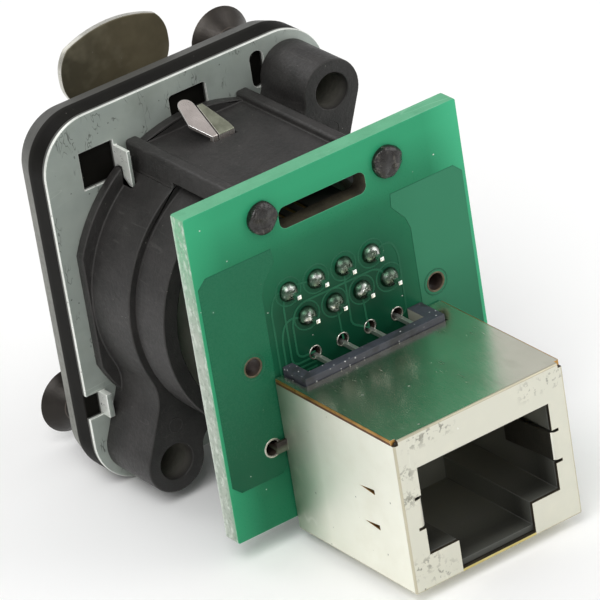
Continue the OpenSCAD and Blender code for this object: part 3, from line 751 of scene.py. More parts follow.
RAW_BRASS = Finish(
    "raw_brass", (200, 154, 84), (160, 112, 56), drift=0.7, gloss=(0.26, 0.4), metallic=0.8,
    drawn=(1.0, 0.2, 1.0),
)
# Dark bar under the raw edge of the top sheet: painted shade of the seam's gap.
SEAM_SHADE = Finish(
    "seam_shade", (110, 66, 32), (74, 44, 24), drift=0.7, gloss=(0.35, 0.55), metallic=0.4, depth=0.006,
)
# Tabs: dark brown, partly raw brass and partly painted shade; the Fade paints their lower part lighter as painted
# light.
TAB_BRASS_SHADE = Finish(
    "tab_brass_shade", (52, 42, 34), (34, 28, 24), drift=1.5, gloss=(0.4, 0.6), metallic=0.3, depth=0.006,
    layers=(Fade((84, 92, 74), 0.5, 0.9, Axis.Z, -6.95, -7.3),),
)
# Inner faces of the shield: the nickel painted dark as painted shade and reflection of the dark inside.
INNER_SHADE = Finish(
    "inner_shade", (64, 62, 54), (52, 51, 45), drift=0.8, gloss=(0.4, 0.55), metallic=0.6, depth=0.003,
)
# Cut edges round the opening: raw brass painted dark as painted shade.
CUT_SHADE = Finish(
    "cut_shade", (72, 64, 50), (46, 41, 34), drift=1.1, gloss=(0.4, 0.6), metallic=0.4,
)
JACK_SHADOW = SoftBox((15, 64, 44), 0.3, 0.95, middle=(0.8, -2.6), half=(7.3, 8.6), edge=3.0)
BOARD_MASK = Finish(
    "board_mask", (36, 118, 82), (33, 110, 77), drift=0.18, gloss=(0.24, 0.36), specular=0.12, grain=7.0,
    depth=0.002,
    layers=(
        # Painted light: lighter towards the top, as light through the laminate, and towards both sides; JACK_SHADOW
        # is painted shade.
        Fade((52, 154, 110), 0.28, 0.95, Axis.Z, 8.2, 12.4),
        Fade((60, 172, 124), 0.28, 0.5, Axis.X, 9.5, 12.2),
        Fade((78, 192, 144), 0.28, 0.6, Axis.X, -9.5, -12.4),
        JACK_SHADOW,
        WHITE_DUST,
        Rim((112, 196, 156), 0.4, 0.5),
    ),
)
POUR_MASK = Finish(
    "pour_mask", (33, 104, 74), (31, 99, 70), drift=0.2, gloss=(0.22, 0.34), specular=0.14, grain=7.0,
    depth=0.002,
    layers=(
        # Painted light and shade: lighter towards -X, darker towards the bottom.
        Fade((54, 126, 94), 0.26, 0.9, Axis.X, 4.0, -8.0),
        Fade((22, 80, 55), 0.26, 0.8, Axis.Z, 2.0, -8.0),
        WHITE_DUST,
        Rim((24, 80, 58), 0.3, 0.6),
    ),
)
TRACE_MASK = Finish(
    "trace_mask", (39, 100, 73), (35, 93, 67), drift=0.5, gloss=(0.24, 0.36), specular=0.12, grain=7.0,
    depth=0.002, layers=(Rim((48, 104, 78), 0.3, 0.5),),
)
FIBRE_EDGE = Finish(
    "fibre_edge", (178, 186, 174), (158, 170, 156), drift=0.6, gloss=(0.55, 0.8), grain=5.0, depth=0.02,
    layers=(
        Fade((120, 182, 142), 0.6, 0.92, Axis.Z, 4.0, 11.5),
        Fade((110, 162, 130), 0.6, 0.6, Axis.Y, 21.35, 21.8),
        Fade((226, 234, 224), 0.6, 0.5, Axis.Y, 20.6, 20.3),
        Patches((222, 230, 220), 0.8, 0.5, scale=2.2, low=0.52, high=0.64, stretch=(1.0, 1.0, 0.5)),
        Patches((118, 132, 118), 0.8, 0.5, scale=3.4, low=0.54, high=0.66),
    ),
)
SAWN_EDGE = Finish(
    "sawn_edge", (98, 174, 134), (88, 164, 124), drift=0.5, gloss=(0.5, 0.7), grain=9.0, depth=0.006,
    layers=(
        Hairlines((150, 206, 174), 0.7, 0.5, scale=1.0, width=0.03, share=0.5, stretch=(0.2, 1.0, 1.0)),
        Patches((78, 150, 114), 0.7, 0.4, scale=0.8, low=0.55, high=0.7),
    ),
)
# Walls of the board's slot: the laminate painted dark as painted shade.
SLOT_SHADE = Finish(
    "slot_shade", (76, 72, 58), (58, 55, 46), drift=1.0, gloss=(0.5, 0.7), specular=0.2, grain=7.0, depth=0.01,
)
HOLE_BROWN = Finish(
    "hole_brown", (82, 70, 62), (58, 48, 44), drift=1.2, gloss=(0.35, 0.55), metallic=0.2, specular=0.3,
    grain=7.0, depth=0.006,
)
GUIDE_BROWN = Finish(
    "guide_brown", (104, 96, 70), (70, 60, 46), drift=1.2, gloss=(0.3, 0.5), metallic=0.3, grain=7.0, depth=0.006,
)
FLOOR_WHITE = Finish(
    "pale_floor", (253, 253, 253), (252, 252, 251), drift=0.01, gloss=(0.7, 0.8), specular=0.2, grain=0.2,
    depth=0.0,
)


@dataclass(frozen=True)
class Softened:
    """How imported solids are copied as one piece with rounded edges.

    Attributes:
        piece: Name of the piece.
        nodes: The nodes that it stands for.
        slot: Their material slot.
        finishes: Its finishes.
        radius: Radius of the small edges.
        segments: Steps round an edge.
        crease: Least angle of an edge that is rounded, in degrees.
        weld: Distance under which points are merged.
        cuts: Planes that split its flat faces through their holes.
        body: Body that carries it.
        zone: Number of the finish that a face takes.
        fold: Edges that get the larger radius of a bend.
        fold_radius: That larger radius.
        mark: How strongly the small edges are marked as rim.
        reshape: What else is done to the copy before its edges are rounded.
    """

    piece: str
    nodes: tuple[str, ...]
    slot: Slot
    finishes: tuple[Finish, ...]
    radius: float
    segments: int = 2
    crease: float = CREASE
    weld: float = WELD
    cuts: tuple[Cut, ...] = ()
    body: Body = Body.BASE
    zone: Callable[[Face], int] | None = None
    fold: Callable[[Edge], bool] | None = None
    fold_radius: float = 0.0
    mark: float = 1.0
    reshape: Callable[[Mesh], None] | None = None


def cut_at(axis: Axis, *places: float) -> tuple[Cut, ...]:
    """Gives cuts at places along an axis."""
    return tuple((axis, place) for place in places)


def by_screw(place: Vector, reach: float) -> bool:
    """Says whether a place lies within reach of a screw's axis."""
    return any(math.dist((place.x, place.z), at) < reach for at in SCREW_AXES)


def is_cut_edge(face: Face) -> int:
    """Gives 1 for a face across a sheet that lies in X and Z, and 0 for the sheet's own faces."""
    return int(abs(face.normal.y) < STEEP)


def lathe(mesh: Mesh, outline: Sequence[Point], at: Point, steps: int, closed: bool) -> None:
    """Turns an outline round a line along Y.

    Args:
        mesh: The mesh that takes the shape.
        outline: Corners, as distance from the line and place along it.
        at: X and Z of the line.
        steps: Sides of the shape.
        closed: Whether the outline's ends are joined.
    """
    x, z = at
    verts = [mesh.verts.new((x + reach, y, z)) for reach, y in outline]
    edges = [mesh.edges.new((verts[k - 1], verts[k])) for k in range(0 if closed else 1, len(verts))]
    geom = [*verts, *edges]
    bmesh.ops.spin(mesh, geom=geom, cent=(x, 0, z), axis=ALONG_Y, angle=math.tau, steps=steps, use_merge=True)


def merge(mesh: Mesh, extra: Mesh) -> None:
    """Adds a mesh to another, and uses it up.

    Args:
        mesh: The mesh that takes it.
        extra: The mesh that is added.
    """
    data = bpy.data.meshes.new("extra")
    extra.to_mesh(data)
    extra.free()
    mesh.from_mesh(data)
    bpy.data.meshes.remove(data)


@dataclass(frozen=True)
class Ring:
    """A flat ring round a line along Y, its top edges rounded.

    Attributes:
        at: X and Z of the line.
        foot: Where it stands along Y.
        inner: Inner radius.
        outer: Outer radius.
        height: Height along Y.
        steps: Sides of the ring.
        lip: Most that the rounding takes of its width and of its height.
    """

    at: Point
    foot: float
    inner: float
    outer: float
    height: float
    steps: int = 32
    lip: Point = (0.3, 0.6)

    def build(self, mesh: Mesh) -> None:
        """Adds the ring.

        Args:
            mesh: The mesh that takes it.
        """
        lip = min(self.lip[0] * (self.outer - self.inner), self.lip[1] * self.height)
        top = self.foot + self.height
        lathe(mesh, (
            (self.inner, self.foot), (self.outer, self.foot), (self.outer, top - lip), (self.outer - lip, top),
            (self.inner + lip, top), (self.inner, top - lip),
        ), self.at, self.steps, closed=True)


@dataclass(frozen=True)
class Thread:
    """A helical ridge round a line along Y.

    Attributes:
        at: X and Z of the line.
        root: Radius of its foot.
        crest: Radius of its crest, within the root's for a thread in a hole.
        pitch: Advance in one turn.
        start: Where it starts along Y.
        end: Where it ends along Y.
        steps: Steps in one turn.
        half: Half width of its foot, as a share of the pitch.
    """

    at: Point
    root: float
    crest: float
    pitch: float
    start: float
    end: float
    steps: int = 20
    half: float = 0.42

    def build(self, mesh: Mesh) -> None:
        """Winds the ridge.

        Args:
            mesh: The mesh that takes it.
        """
        x, z = self.at
        foot = self.half * self.pitch
        outline = [(self.root, -foot), (self.crest, 0.0), (self.root, foot)]
        turns = (self.end - self.start) / self.pitch
        verts = [mesh.verts.new((x + reach, self.start + rise, z)) for reach, rise in outline]
        edges = [mesh.edges.new((verts[k - 1], verts[k])) for k in range(len(verts))]
        geom = [*verts, *edges, mesh.faces.new(verts)]
        bmesh.ops.spin(
            mesh, geom=geom, cent=(x, 0, z), axis=ALONG_Y, dvec=(0, self.pitch / self.steps, 0),
            angle=math.tau * turns, steps=round(turns * self.steps),
        )


class Workbench:
    """Starts meshes, shapes them in shared ways and turns them into pieces."""

    def __init__(self, paints: Paintshop) -> None:
        """Keeps the paints at hand."""
        self.paints = paints

    @staticmethod
    def start() -> Mesh:
        """Starts a mesh.

        Returns:
            An empty mesh that can mark its rounded edges.
        """
        mesh = bmesh.new()
        mesh.faces.layers.float.new(RIM)
        return mesh

    def copy(self, nodes: Iterable[str], cuts: Sequence[Cut] = (), weld: float = WELD) -> Mesh:
        """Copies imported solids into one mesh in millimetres, with whole flat faces.

        Args:
            nodes: Names of the nodes.
            cuts: Planes that split the flat faces through their holes.
            weld: Distance under which points are merged.

        Returns:
            The merged mesh.
        """
        mesh = self.start()
        for node in nodes:
            mesh.from_mesh(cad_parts[node].data)
        bmesh.ops.scale(mesh, vec=(1 / MM,) * 3, verts=mesh.verts)
        bmesh.ops.remove_doubles(mesh, verts=mesh.verts, dist=weld)
        bmesh.ops.dissolve_degenerate(mesh, dist=weld / 10, edges=mesh.edges)
        for axis, place in cuts:
            normal = Vector()
            normal[axis.value] = 1.0
            geom = [*mesh.verts, *mesh.edges, *mesh.faces]
            result = bmesh.ops.bisect_plane(mesh, geom=geom, dist=1e-4, plane_co=normal * place, plane_no=normal)
            for item in result["geom_cut"]:
                if isinstance(item, Edge):
                    item.seam = True
        self.flatten(mesh)
        return mesh

    @staticmethod
    def flatten(mesh: Mesh) -> None:
        """Joins the triangles of each flat face, up to the seams of its cuts."""
        limit = math.radians(LEVEL)
        bmesh.ops.dissolve_limit(mesh, angle_limit=limit, verts=mesh.verts, edges=mesh.edges, delimit={"SEAM"})

    @staticmethod
    def sharp_edges(mesh: Mesh, crease: float) -> list[Edge]:
        """Finds the edges whose faces meet at more than an angle in degrees."""
        least = math.radians(crease)
        return [edge for edge in mesh.edges if len(edge.link_faces) == 2 and edge.calc_face_angle() > least]

    @staticmethod
    def round_edges(mesh: Mesh, edges: Sequence[Edge], radius: float, segments: int = 2, mark: float = 1.0) -> None:
        """Rounds edges, and marks the new faces as rim.

        Args:
            mesh: The mesh.
            edges: Its edges to round.
            radius: Radius of the rounding.
            segments: Steps round an edge.
            mark: How strongly they are marked.
        """
        result = bmesh.ops.bevel(
            mesh, geom=edges, offset=radius, segments=segments, affect="EDGES", clamp_overlap=False, loop_slide=True,
            **ROUND,
        )
        rim = mesh.faces.layers.float[RIM]
        for face in result["faces"]:
            face[rim] = mark

    def piece(
        self, name: str, mesh: Mesh, finishes: Sequence[Finish], slot: Slot, body: Body = Body.BASE,
        crease: float = CREASE,
    ) -> bpy.types.Object:
        """Turns a mesh in millimetres into a piece of the object.

        Args:
            name: Name of the piece.
            mesh: The mesh, which is used up.
            finishes: Its finishes, in the order of its faces' material numbers.
            slot: Material slot of the record; not used.
            body: Body that carries it.
            crease: Least angle of an edge that shades as sharp, in degrees.

        Returns:
            The linked piece.
        """
        bmesh.ops.scale(mesh, vec=(MM,) * 3, verts=mesh.verts)
        data = bpy.data.meshes.new(name)
        mesh.to_mesh(data)
        mesh.free()
        for finish in finishes:
            data.materials.append(self.paints.material(finish))
        data.shade_smooth()
        data.set_sharp_from_angle(angle=math.radians(crease))
        piece = bpy.data.objects.new(name, data)
        bpy.context.scene.collection.objects.link(piece)
        even = piece.modifiers.new("even_normals", "WEIGHTED_NORMAL")
        even.keep_sharp = True
        even.weight = FACE_WEIGHT
        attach(piece, body.value)
        LOG.info("piece %s: %d faces on %s", name, len(data.polygons), body.value)
        return piece

    def soften(self, solid: Softened) -> None:
        """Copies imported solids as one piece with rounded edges, which then stands for them.

        Args:
            solid: What is copied, and how.
        """
        mesh = self.copy(solid.nodes, solid.cuts, solid.weld)
        if solid.reshape:
            solid.reshape(mesh)
        for face in mesh.faces:
            face.material_index = solid.zone(face) if solid.zone else 0
        if solid.fold:
            folds = [edge for edge in self.sharp_edges(mesh, solid.crease) if solid.fold(edge)]
            self.round_edges(mesh, folds, solid.fold_radius, solid.segments + 1)
        edges = self.sharp_edges(mesh, solid.crease)
        self.round_edges(mesh, edges, solid.radius, solid.segments, solid.mark)
        piece = self.piece(solid.piece, mesh, solid.finishes, solid.slot, solid.body, solid.crease)
        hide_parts(*solid.nodes)

    def turned(self, name: str, shapes: Iterable[Ring | Thread], finish: Finish, slot: Slot) -> None:
        """Makes one piece of rings or threads.

        Args:
            name: Name of the piece.
            shapes: The rings or threads.
            finish: Its finish.
            slot: Material slot of the record.
        """
        mesh = self.start()
        for shape in shapes:
            shape.build(mesh)
        bmesh.ops.recalc_face_normals(mesh, faces=mesh.faces)
        self.piece(name, mesh, (finish,), slot)


@dataclass
class Assembly:
    """Something built at a workbench."""

    bench: Workbench


@dataclass
class FlangeParts(Assembly):
    """The flange and its two countersunk screws."""

    edge: float = 0.09
    screw_edge: float = 0.06
    crease: float = 12.0
    sink_r: float = 2.9
    bore_r: float = 10.5
    tilt: float = 0.1

    def build(self) -> None:
        """Builds the flange, the screws and their threads."""
        self.bench.soften(Softened(
            "flange_body", ("front_flange",), Slot.FLANGE, (FLANGE_BLACK, FLANGE_BEVEL_SHEEN, CHARCOAL), self.edge,
            crease=self.crease, cuts=cut_at(Axis.X, -SCREW_X, 0.0, SCREW_X), zone=self._zone,
        ))
        self.bench.soften(Softened(
            "screw_shanks", ("mounting_screws",), Slot.SCREW, (SCREW_BROWN,), self.screw_edge,
            cuts=cut_at(Axis.X, -SCREW_X, SCREW_X),
        ))
        threads = [Thread(at, root=1.29, crest=1.44, pitch=0.5, start=-3.0, end=5.6) for at in SCREW_AXES]
        self.bench.turned("screw_threads", threads, SCREW_BROWN, Slot.SCREW)

    def _zone(self, face: Face) -> int:
        """Tells the flange's faces apart.

        Args:
            face: The face.

        Returns:
            0 for the wall and the holes, 1 for the bevel round the front edge in painted sheen and 2 for the front.
        """
        place = face.calc_center_median()
        if face.normal.y < -FLAT:
            return 2
        outside = math.hypot(place.x, place.z) > self.bore_r
        return int(face.normal.y < -self.tilt and outside and not by_screw(place, self.sink_r))


@dataclass
class PlateParts(Assembly):
    """The punched ground plate."""

    edge: float = 0.05
    cut_x: Point = (-6.95, 8.3)

    def build(self) -> None:
        """Builds the plate with its sheared edges."""
        low, high = self.cut_x
        self.bench.soften(Softened(
            "plate_sheet", ("ground_plate",), Slot.PLATE, (PLATE_STEEL, PLATE_EDGE), self.edge, zone=is_cut_edge,
            cuts=cut_at(Axis.X, -SCREW_X, low, LATCH_X, high, SCREW_X),
        ))


@dataclass
class HousingParts(Assembly):
    """The rear housing with its tapped bosses, ejector marks and melted pegs.

    Attributes:
        lumps: Share of the pegs' radius by which they are uneven, and lumps per millimetre.
        sag: Height by which their tops are uneven, and dents per millimetre.
        shift: Where the dents' noise lies against the lumps'.
    """

    edge: float = 0.12
    weld: float = 0.008
    barrel_end: float = 10.03
    bore_r: float = 10.8
    band_end: float = 13.5
    tap_r: float = 1.47
    tap_mouth: float = 0.15
    mark_at: tuple[Point, ...] = ((9.05, -9.0), (-9.05, 9.0))
    mark_r: Point = (0.55, 0.62)
    mark_h: float = 0.05
    peg_x: float = 5.715
    peg_r: float = 1.3
    peg_h: float = 0.7
    peg_outline: tuple[Point, ...] = (
        (0.0, 1.0), (0.3, 1.0), (0.55, 0.98), (0.76, 0.9), (0.9, 0.74), (0.98, 0.5), (1.0, 0.25), (0.97, 0.0),
    )
    lumps: Point = (0.09, 1.1)
    sag: Point = (0.3, 1.3)
    shift: Triple = (3.0, 1.0, 7.0)

    def build(self) -> None:
        """Builds the moulding, then what stands on it."""
        self.bench.soften(Softened(
            "housing_moulding", ("rear_housing",), Slot.HOUSING, (CHARCOAL, TAPPED_LIT, INNER_WALL_LIT), self.edge,
            weld=self.weld, zone=self._zone,
            cuts=cut_at(Axis.X, -SCREW_X, -self.peg_x, LATCH_X, self.peg_x, SCREW_X) + cut_at(Axis.Z, LATCH_Z),
        ))
        taps = [Thread(at, self.tap_r, crest=1.43, pitch=0.55, start=6.1, end=9.5) for at in SCREW_AXES]
        self.bench.turned("boss_threads", taps, TAPPED_LIT, Slot.HOUSING)
        marks = [Ring(at, self.barrel_end - NEAR, *self.mark_r, self.mark_h, steps=24) for at in self.mark_at]
        self.bench.turned("ejector_marks", marks, CHARCOAL, Slot.HOUSING)
        self._pegs()

    def _zone(self, face: Face) -> int:
        """Tells the housing's faces apart.

        Args:
            face: The face.

        Returns:
            0 for the outside, 1 for the boss holes' walls and 2 for the barrel and band inside, both painted light.
        """
        place = face.calc_center_median()
        reach = math.hypot(place.x, place.z)
        if by_screw(place, self.tap_r + CLEAR):
            return int(place.y < self.barrel_end - self.tap_mouth)
        if reach > self.bore_r or place.y > self.band_end:
            return 0
        faces_in = face.normal.x * place.x + face.normal.z * place.z < -LEAN * reach
        faces_back = face.normal.y > FLAT and place.y > self.barrel_end + CLEAR
        return 2 if faces_in or faces_back else 0

    def _pegs(self) -> None:
        """Melts a lumpy cap over each peg's head."""
        mesh = self.bench.start()
        foot = BOARD_BACK - NEAR
        outline = [(reach * self.peg_r, foot + rise * self.peg_h) for reach, rise in self.peg_outline]
        for side in SIDES:
            lathe(mesh, outline, (side * self.peg_x, PEG_Z), steps=40, closed=False)
        bmesh.ops.remove_doubles(mesh, verts=mesh.verts, dist=1e-4)
        bmesh.ops.holes_fill(mesh, edges=[edge for edge in mesh.edges if edge.is_boundary])
        bmesh.ops.recalc_face_normals(mesh, faces=mesh.faces)
        lump, lump_scale = self.lumps
        dent, dent_scale = self.sag
        for vert in mesh.verts:
            if vert.co.y > BOARD_BACK:
                axis = Vector((math.copysign(self.peg_x, vert.co.x), vert.co.y, PEG_Z))
                vert.co += (vert.co - axis) * lump * noise.noise(vert.co * lump_scale)
                vert.co.y += dent * noise.noise(vert.co * dent_scale + Vector(self.shift))
        self.bench.piece("peg_caps", mesh, (MELTED,), Slot.HOUSING, crease=60.0)


@dataclass
class LatchParts(Assembly):
    """The sprung lever, its pivot pin and its leaf spring."""

    edge: float = 0.1
    pin_edge: float = 0.06
    spring_edge: float = 0.03
    tab_rear: float = -5.0
    tab_low: float = 10.4
    leg_x: float = 0.16
    deck_z: float = 11.6

    def build(self) -> None:
        """Builds the three pieces of the latch."""
        self.bench.soften(Softened(
            "lever_sheet", ("latch_lever",), Slot.LEVER, (LEVER_OLIVE, LEVER_EDGE), self.edge, segments=3,
            body=Body.LEVER, zone=self._is_tab_edge, cuts=cut_at(Axis.Z, LATCH_Z),
        ))
        self.bench.soften(Softened("pivot_pin", ("latch_pin",), Slot.BRIGHT, (SPRING_BRIGHT,), self.pin_edge))
        self.bench.soften(Softened(
            "spring_leaf", ("latch_spring",), Slot.BRIGHT, (SPRING_BRIGHT, SPRING_SHADE), self.spring_edge,
            zone=self._is_leg,
        ))

    def _is_leg(self, face: Face) -> int:
        """Gives 1 for the spring's narrower leg, which takes the painted shade."""
        place = face.calc_center_median()
        return int(place.x < self.leg_x and place.z > self.deck_z)

    def _is_tab_edge(self, face: Face) -> int:
        """Gives 1 for the cut edge round the release tab."""
        place = face.calc_center_median()
        return int(is_cut_edge(face) and place.y < self.tab_rear and place.z > self.tab_low)


@dataclass
class BoardParts(Assembly):
    """The circuit board: laminate, copper under the mask, plated holes and solder.

    Attributes:
        pour: Outline of one copper pour, from the board's middle; the other one mirrors it.
        trace_h: Height of the first trace over the board, as a share of the copper's, and the step to each next one.
        bend: How far a trace's bend reaches along the runs beside it.
        settled: Share of their solids' size that the front jack's joints keep.
    """

    front: float = 20.26
    edge: float = 0.035
    middle: Point = (-0.15, 0.15)
    half: Point = (12.45, 13.65)
    margin: float = 0.6
    copper: float = 0.035
    copper_edge: float = 0.03
    tails: int = 8
    rear_tails: int = 4
    tail_pitch: float = 1.27
    row_a: float = 4.65
    row_b: float = 2.11
    row_c: float = -1.1
    row_d: float = -3.6
    rear_mid: float = -0.85
    guide_x: float = 8.5
    tab_x: float = 8.8
    tab_z: float = -7.1
    slot_z: float = 10.5
    slot_low: float = 9.0
    pour: tuple[Point, ...] = (
        (5.5, 8.6), (5.4, 7.5), (6.5, 6.2), (6.85, 5.2), (6.9, -8.8), (7.6, -9.5), (11.4, -9.5), (12.15, -8.8),
        (12.15, 7.9), (11.4, 8.6),
    )
    trace_w: float = 0.16
    trace_h: Point = (0.7, 0.04)
    bend: float = 0.8
    pad_r: Point = (1.08, 1.2)
    guide_pad_r: Point = (0.98, 1.1)
    hole_r: Point = (0.46, 0.57)
    hole_h: float = 0.11
    tab_r: Point = (0.6, 0.82)
    guide_r: Point = (0.68, 0.84)
    rim_h: float = 0.12
    rim_depth: float = 0.05
    solder_edge: float = 0.03
    settled: Triple = (0.87, 0.86, 0.87)

    def build(self) -> None:
        """Builds the laminate, then the artwork, holes and solder."""
        self.bench.soften(Softened(
            "board_laminate", ("circuit_board",), Slot.BOARD,
            (BOARD_MASK, FIBRE_EDGE, HOLE_BROWN, SLOT_SHADE, SAWN_EDGE), self.edge, zone=self._zone, cuts=self._rows(),
        ))
        self._pours()
        self._traces()
        self._rims()
        solders = (("front_jack_solder", self._settle), ("rear_jack_solder", None), ("shield_solder", None))
        for node, reshape in solders:
            self.bench.soften(Softened(
                node + "_joints", (node,), Slot.SOLDER, (SOLDER_TIN,), self.solder_edge, reshape=reshape,
            ))

    def _settle(self, mesh: Mesh) -> None:
        """Draws each joint in round its tail, as solder settles.

        Args:
            mesh: Mesh of the joints.
        """
        for x, z in self._tails():
            verts = [vert for vert in mesh.verts if math.dist((vert.co.x, vert.co.z), (x, z)) < self.tail_pitch]
            space = Matrix.Translation((-x, -BOARD_BACK, -z))
            bmesh.ops.scale(mesh, vec=self.settled, space=space, verts=verts)

    def _rows(self) -> tuple[Cut, ...]:
        """Gives cuts through every row of the board's holes."""
        holes = (self.row_a, self.row_b, 0.0, self.row_c, self.row_d, self.tab_z)
        return cut_at(Axis.Z, PEG_Z, self.slot_z, *holes)

    def _tails(self) -> list[Point]:
        """Gives the places of the front jack's tails."""
        rows = (self.row_a, self.row_b)
        return [(((self.tails - 1) / 2 - k) * self.tail_pitch, rows[k % 2]) for k in range(self.tails)]

    def _rear_tails(self) -> list[Point]:
        """Gives the places of the rear jack's upper holes."""
        steps = [(self.rear_tails - 1) / 2 - k for k in range(self.rear_tails)]
        return [(self.rear_mid + step * 2 * self.tail_pitch, self.row_c) for step in steps]

    def _zone(self, face: Face) -> int:
        """Tells the board's faces apart.

        Args:
            face: The face.

        Returns:
            0 mask, 1 sides, 2 holes' walls, 3 slot's walls in painted shade and 4 top and foot.
        """
        if not is_cut_edge(face):
            return 0
        place = face.calc_center_median()
        across, up = (abs(part - centre) for part, centre in zip((place.x, place.z), self.middle))
        if across < self.half[0] - self.margin and up < self.half[1] - self.margin:
            return 3 if place.z > self.slot_low else 2
        return 4 if abs(face.normal.z) > STEEP else 1

    def _pours(self) -> None:
        """Lays the copper pours on both faces, with the board's own holes in them."""
        for name, side, ground in (("rear_pours", 1, BOARD_BACK - SINK), ("front_pours", -1, -self.front - SINK)):
            whole = self.bench.start()
            for mirror in (1, -1):
                mesh = self.bench.copy(("circuit_board",), self._rows())
                unwanted = [face for face in mesh.faces if face.normal.y * side < FLAT]
                bmesh.ops.delete(mesh, geom=unwanted, context="FACES")
                self._trim(mesh, [(self.middle[0] + mirror * x, z) for x, z in self.pour])
                bmesh.ops.solidify(mesh, geom=mesh.faces, thickness=self.copper + SINK)
                shift = ground - min(vert.co.y * side for vert in mesh.verts)
                bmesh.ops.translate(mesh, vec=(0, shift * side, 0), verts=mesh.verts)
                bmesh.ops.recalc_face_normals(mesh, faces=mesh.faces)
                tops = [
                    edge for edge in self.bench.sharp_edges(mesh, crease=60)
                    if all(vert.co.y * side > ground + self.copper / 2 for vert in edge.verts)
                ]
                self.bench.round_edges(mesh, tops, self.copper_edge)
                merge(whole, mesh)
            self.bench.piece(name, whole, (POUR_MASK,), Slot.BOARD)

    def _trim(self, mesh: Mesh, outline: Sequence[Point]) -> None:
        """Trims a flat mesh to an outline.

        Args:
            mesh: Mesh of faces across Y.
            outline: Corners of the outline, in X and Z.
        """
        for k, (x, z) in enumerate(outline):
            before = outline[k - 1]
            normal = Vector((z - before[1], 0, before[0] - x)).normalized()
            geom = [*mesh.verts, *mesh.edges, *mesh.faces]
            bmesh.ops.bisect_plane(mesh, geom=geom, dist=1e-5, plane_co=(x, 0, z), plane_no=normal)
        corners = [Vector((x, z, 0.0)) for x, z in outline]
        parts = [[corners[k].xy for k in three] for three in tessellate_polygon([corners])]
        outside = []
        for face in mesh.faces:
            place = face.calc_center_median_weighted().xz
            if not any(intersect_point_tri_2d(place, *part) for part in parts):
                outside.append(face)
        bmesh.ops.delete(mesh, geom=outside, context="FACES")
        self.bench.flatten(mesh)

    def _ribbon(self, mesh: Mesh, route: Sequence[Point], height: float) -> None:
        """Adds one trace: a flat ribbon of copper along a route with rounded bends.

        Args:
            mesh: The mesh that takes it.
            route: Its corners, in X and Z.
            height: Height of the trace over the board.
        """
        strand = bmesh.new()
        verts = [strand.verts.new((x, BOARD_BACK - SINK, z)) for x, z in route]
        for pair in zip(verts, verts[1:]):
            strand.edges.new(pair)
        bends = verts[1:-1]
        bmesh.ops.bevel(
            strand, geom=bends, offset=self.bend, segments=6, affect="VERTICES", clamp_overlap=True, **ROUND,
        )
        bmesh.ops.remove_doubles(strand, verts=strand.verts, dist=NEAR)
        lifted = bmesh.ops.extrude_edge_only(strand, edges=list(strand.edges))["geom"]
        rise = [item for item in lifted if isinstance(item, bmesh.types.BMVert)]
        bmesh.ops.translate(strand, vec=(0, height + SINK, 0), verts=rise)
        bmesh.ops.recalc_face_normals(strand, faces=strand.faces)
        bmesh.ops.solidify(strand, geom=strand.faces, thickness=self.trace_w)
        bmesh.ops.recalc_face_normals(strand, faces=strand.faces)
        merge(mesh, strand)

    def _routes(self) -> list[list[Point]]:
        """Lays out the traces.

        Returns:
            The corners of each trace from a front jack's pad to a rear jack's.
        """
        tails, ends = self._tails(), self._rear_tails()
        routes = []
        # Outer traces: tail, side, X of the lane, rear hole, and how far under the hole they end
        for k, side, x, end, drop in (
            (0, 1, 6.25, 0, 1.2), (1, 1, 5.7, 0, 0.8), (2, 1, 5.15, 0, 0.4), (6, -1, -5.65, 3, 0.4),
        ):
            start, low = tails[k], self.row_c - drop
            routes.append([
                start, (x - 0.7 * side, start[1] + 0.5), (x, start[1] - 0.7), (x, low), (ends[end][0], low),
            ])
        # One trace runs between the two rows of tails
        lane = (self.row_a + self.row_b) / 2
        routes.append([
            tails[7], (tails[7][0] + 0.8, lane), (3.8, lane), (4.6, lane - 1.1), (4.6, self.row_c), ends[0],
        ])
        # Inner traces: tail, X of the lane, rear hole
        for k, x, end in ((3, 0.5, 1), (4, -0.65, 2), (5, -2.0, 2)):
            routes.append([tails[k], (x, self.row_b - 1.6), (x, self.row_c + 0.9), ends[end]])
        return routes

    def _traces(self) -> None:
        """Runs the traces, each a little higher than the one before, so that no two share a face."""
        mesh = self.bench.start()
        first, step = self.trace_h
        for layer, route in enumerate(self._routes()):
            self._ribbon(mesh, route, self.copper * (first + step * layer))
        self.bench.piece("board_traces", mesh, (TRACE_MASK,), Slot.BOARD)

    def _rims(self) -> None:
        """Adds the masked rims of the pads, the tinned rims of the plated holes and the guide holes' brown rims."""
        guides = [(side * self.guide_x, 0.0) for side in SIDES]
        tabs = [(self.rear_mid + side * self.tab_x, self.tab_z) for side in SIDES]
        low = BOARD_BACK - self.rim_depth
        pads = [Ring(at, BOARD_BACK - SINK, *self.pad_r, self.copper) for at in self._tails()]
        pads += [Ring(at, BOARD_BACK + NEAR, *self.guide_pad_r, self.copper) for at in guides]
        plated = [Ring(at, low, *self.hole_r, self.hole_h) for at in self._rear_tails()]
        plated += [Ring(at, low, *self.tab_r, self.rim_h) for at in tabs]
        bored = [Ring(at, low, *self.guide_r, self.rim_h) for at in guides]
        self.bench.turned("pad_rims", pads, TRACE_MASK, Slot.BOARD)
        self.bench.turned("hole_rims", plated, HOLE_TIN, Slot.SOLDER)
        self.bench.turned("guide_rims", bored, GUIDE_BROWN, Slot.BOARD)


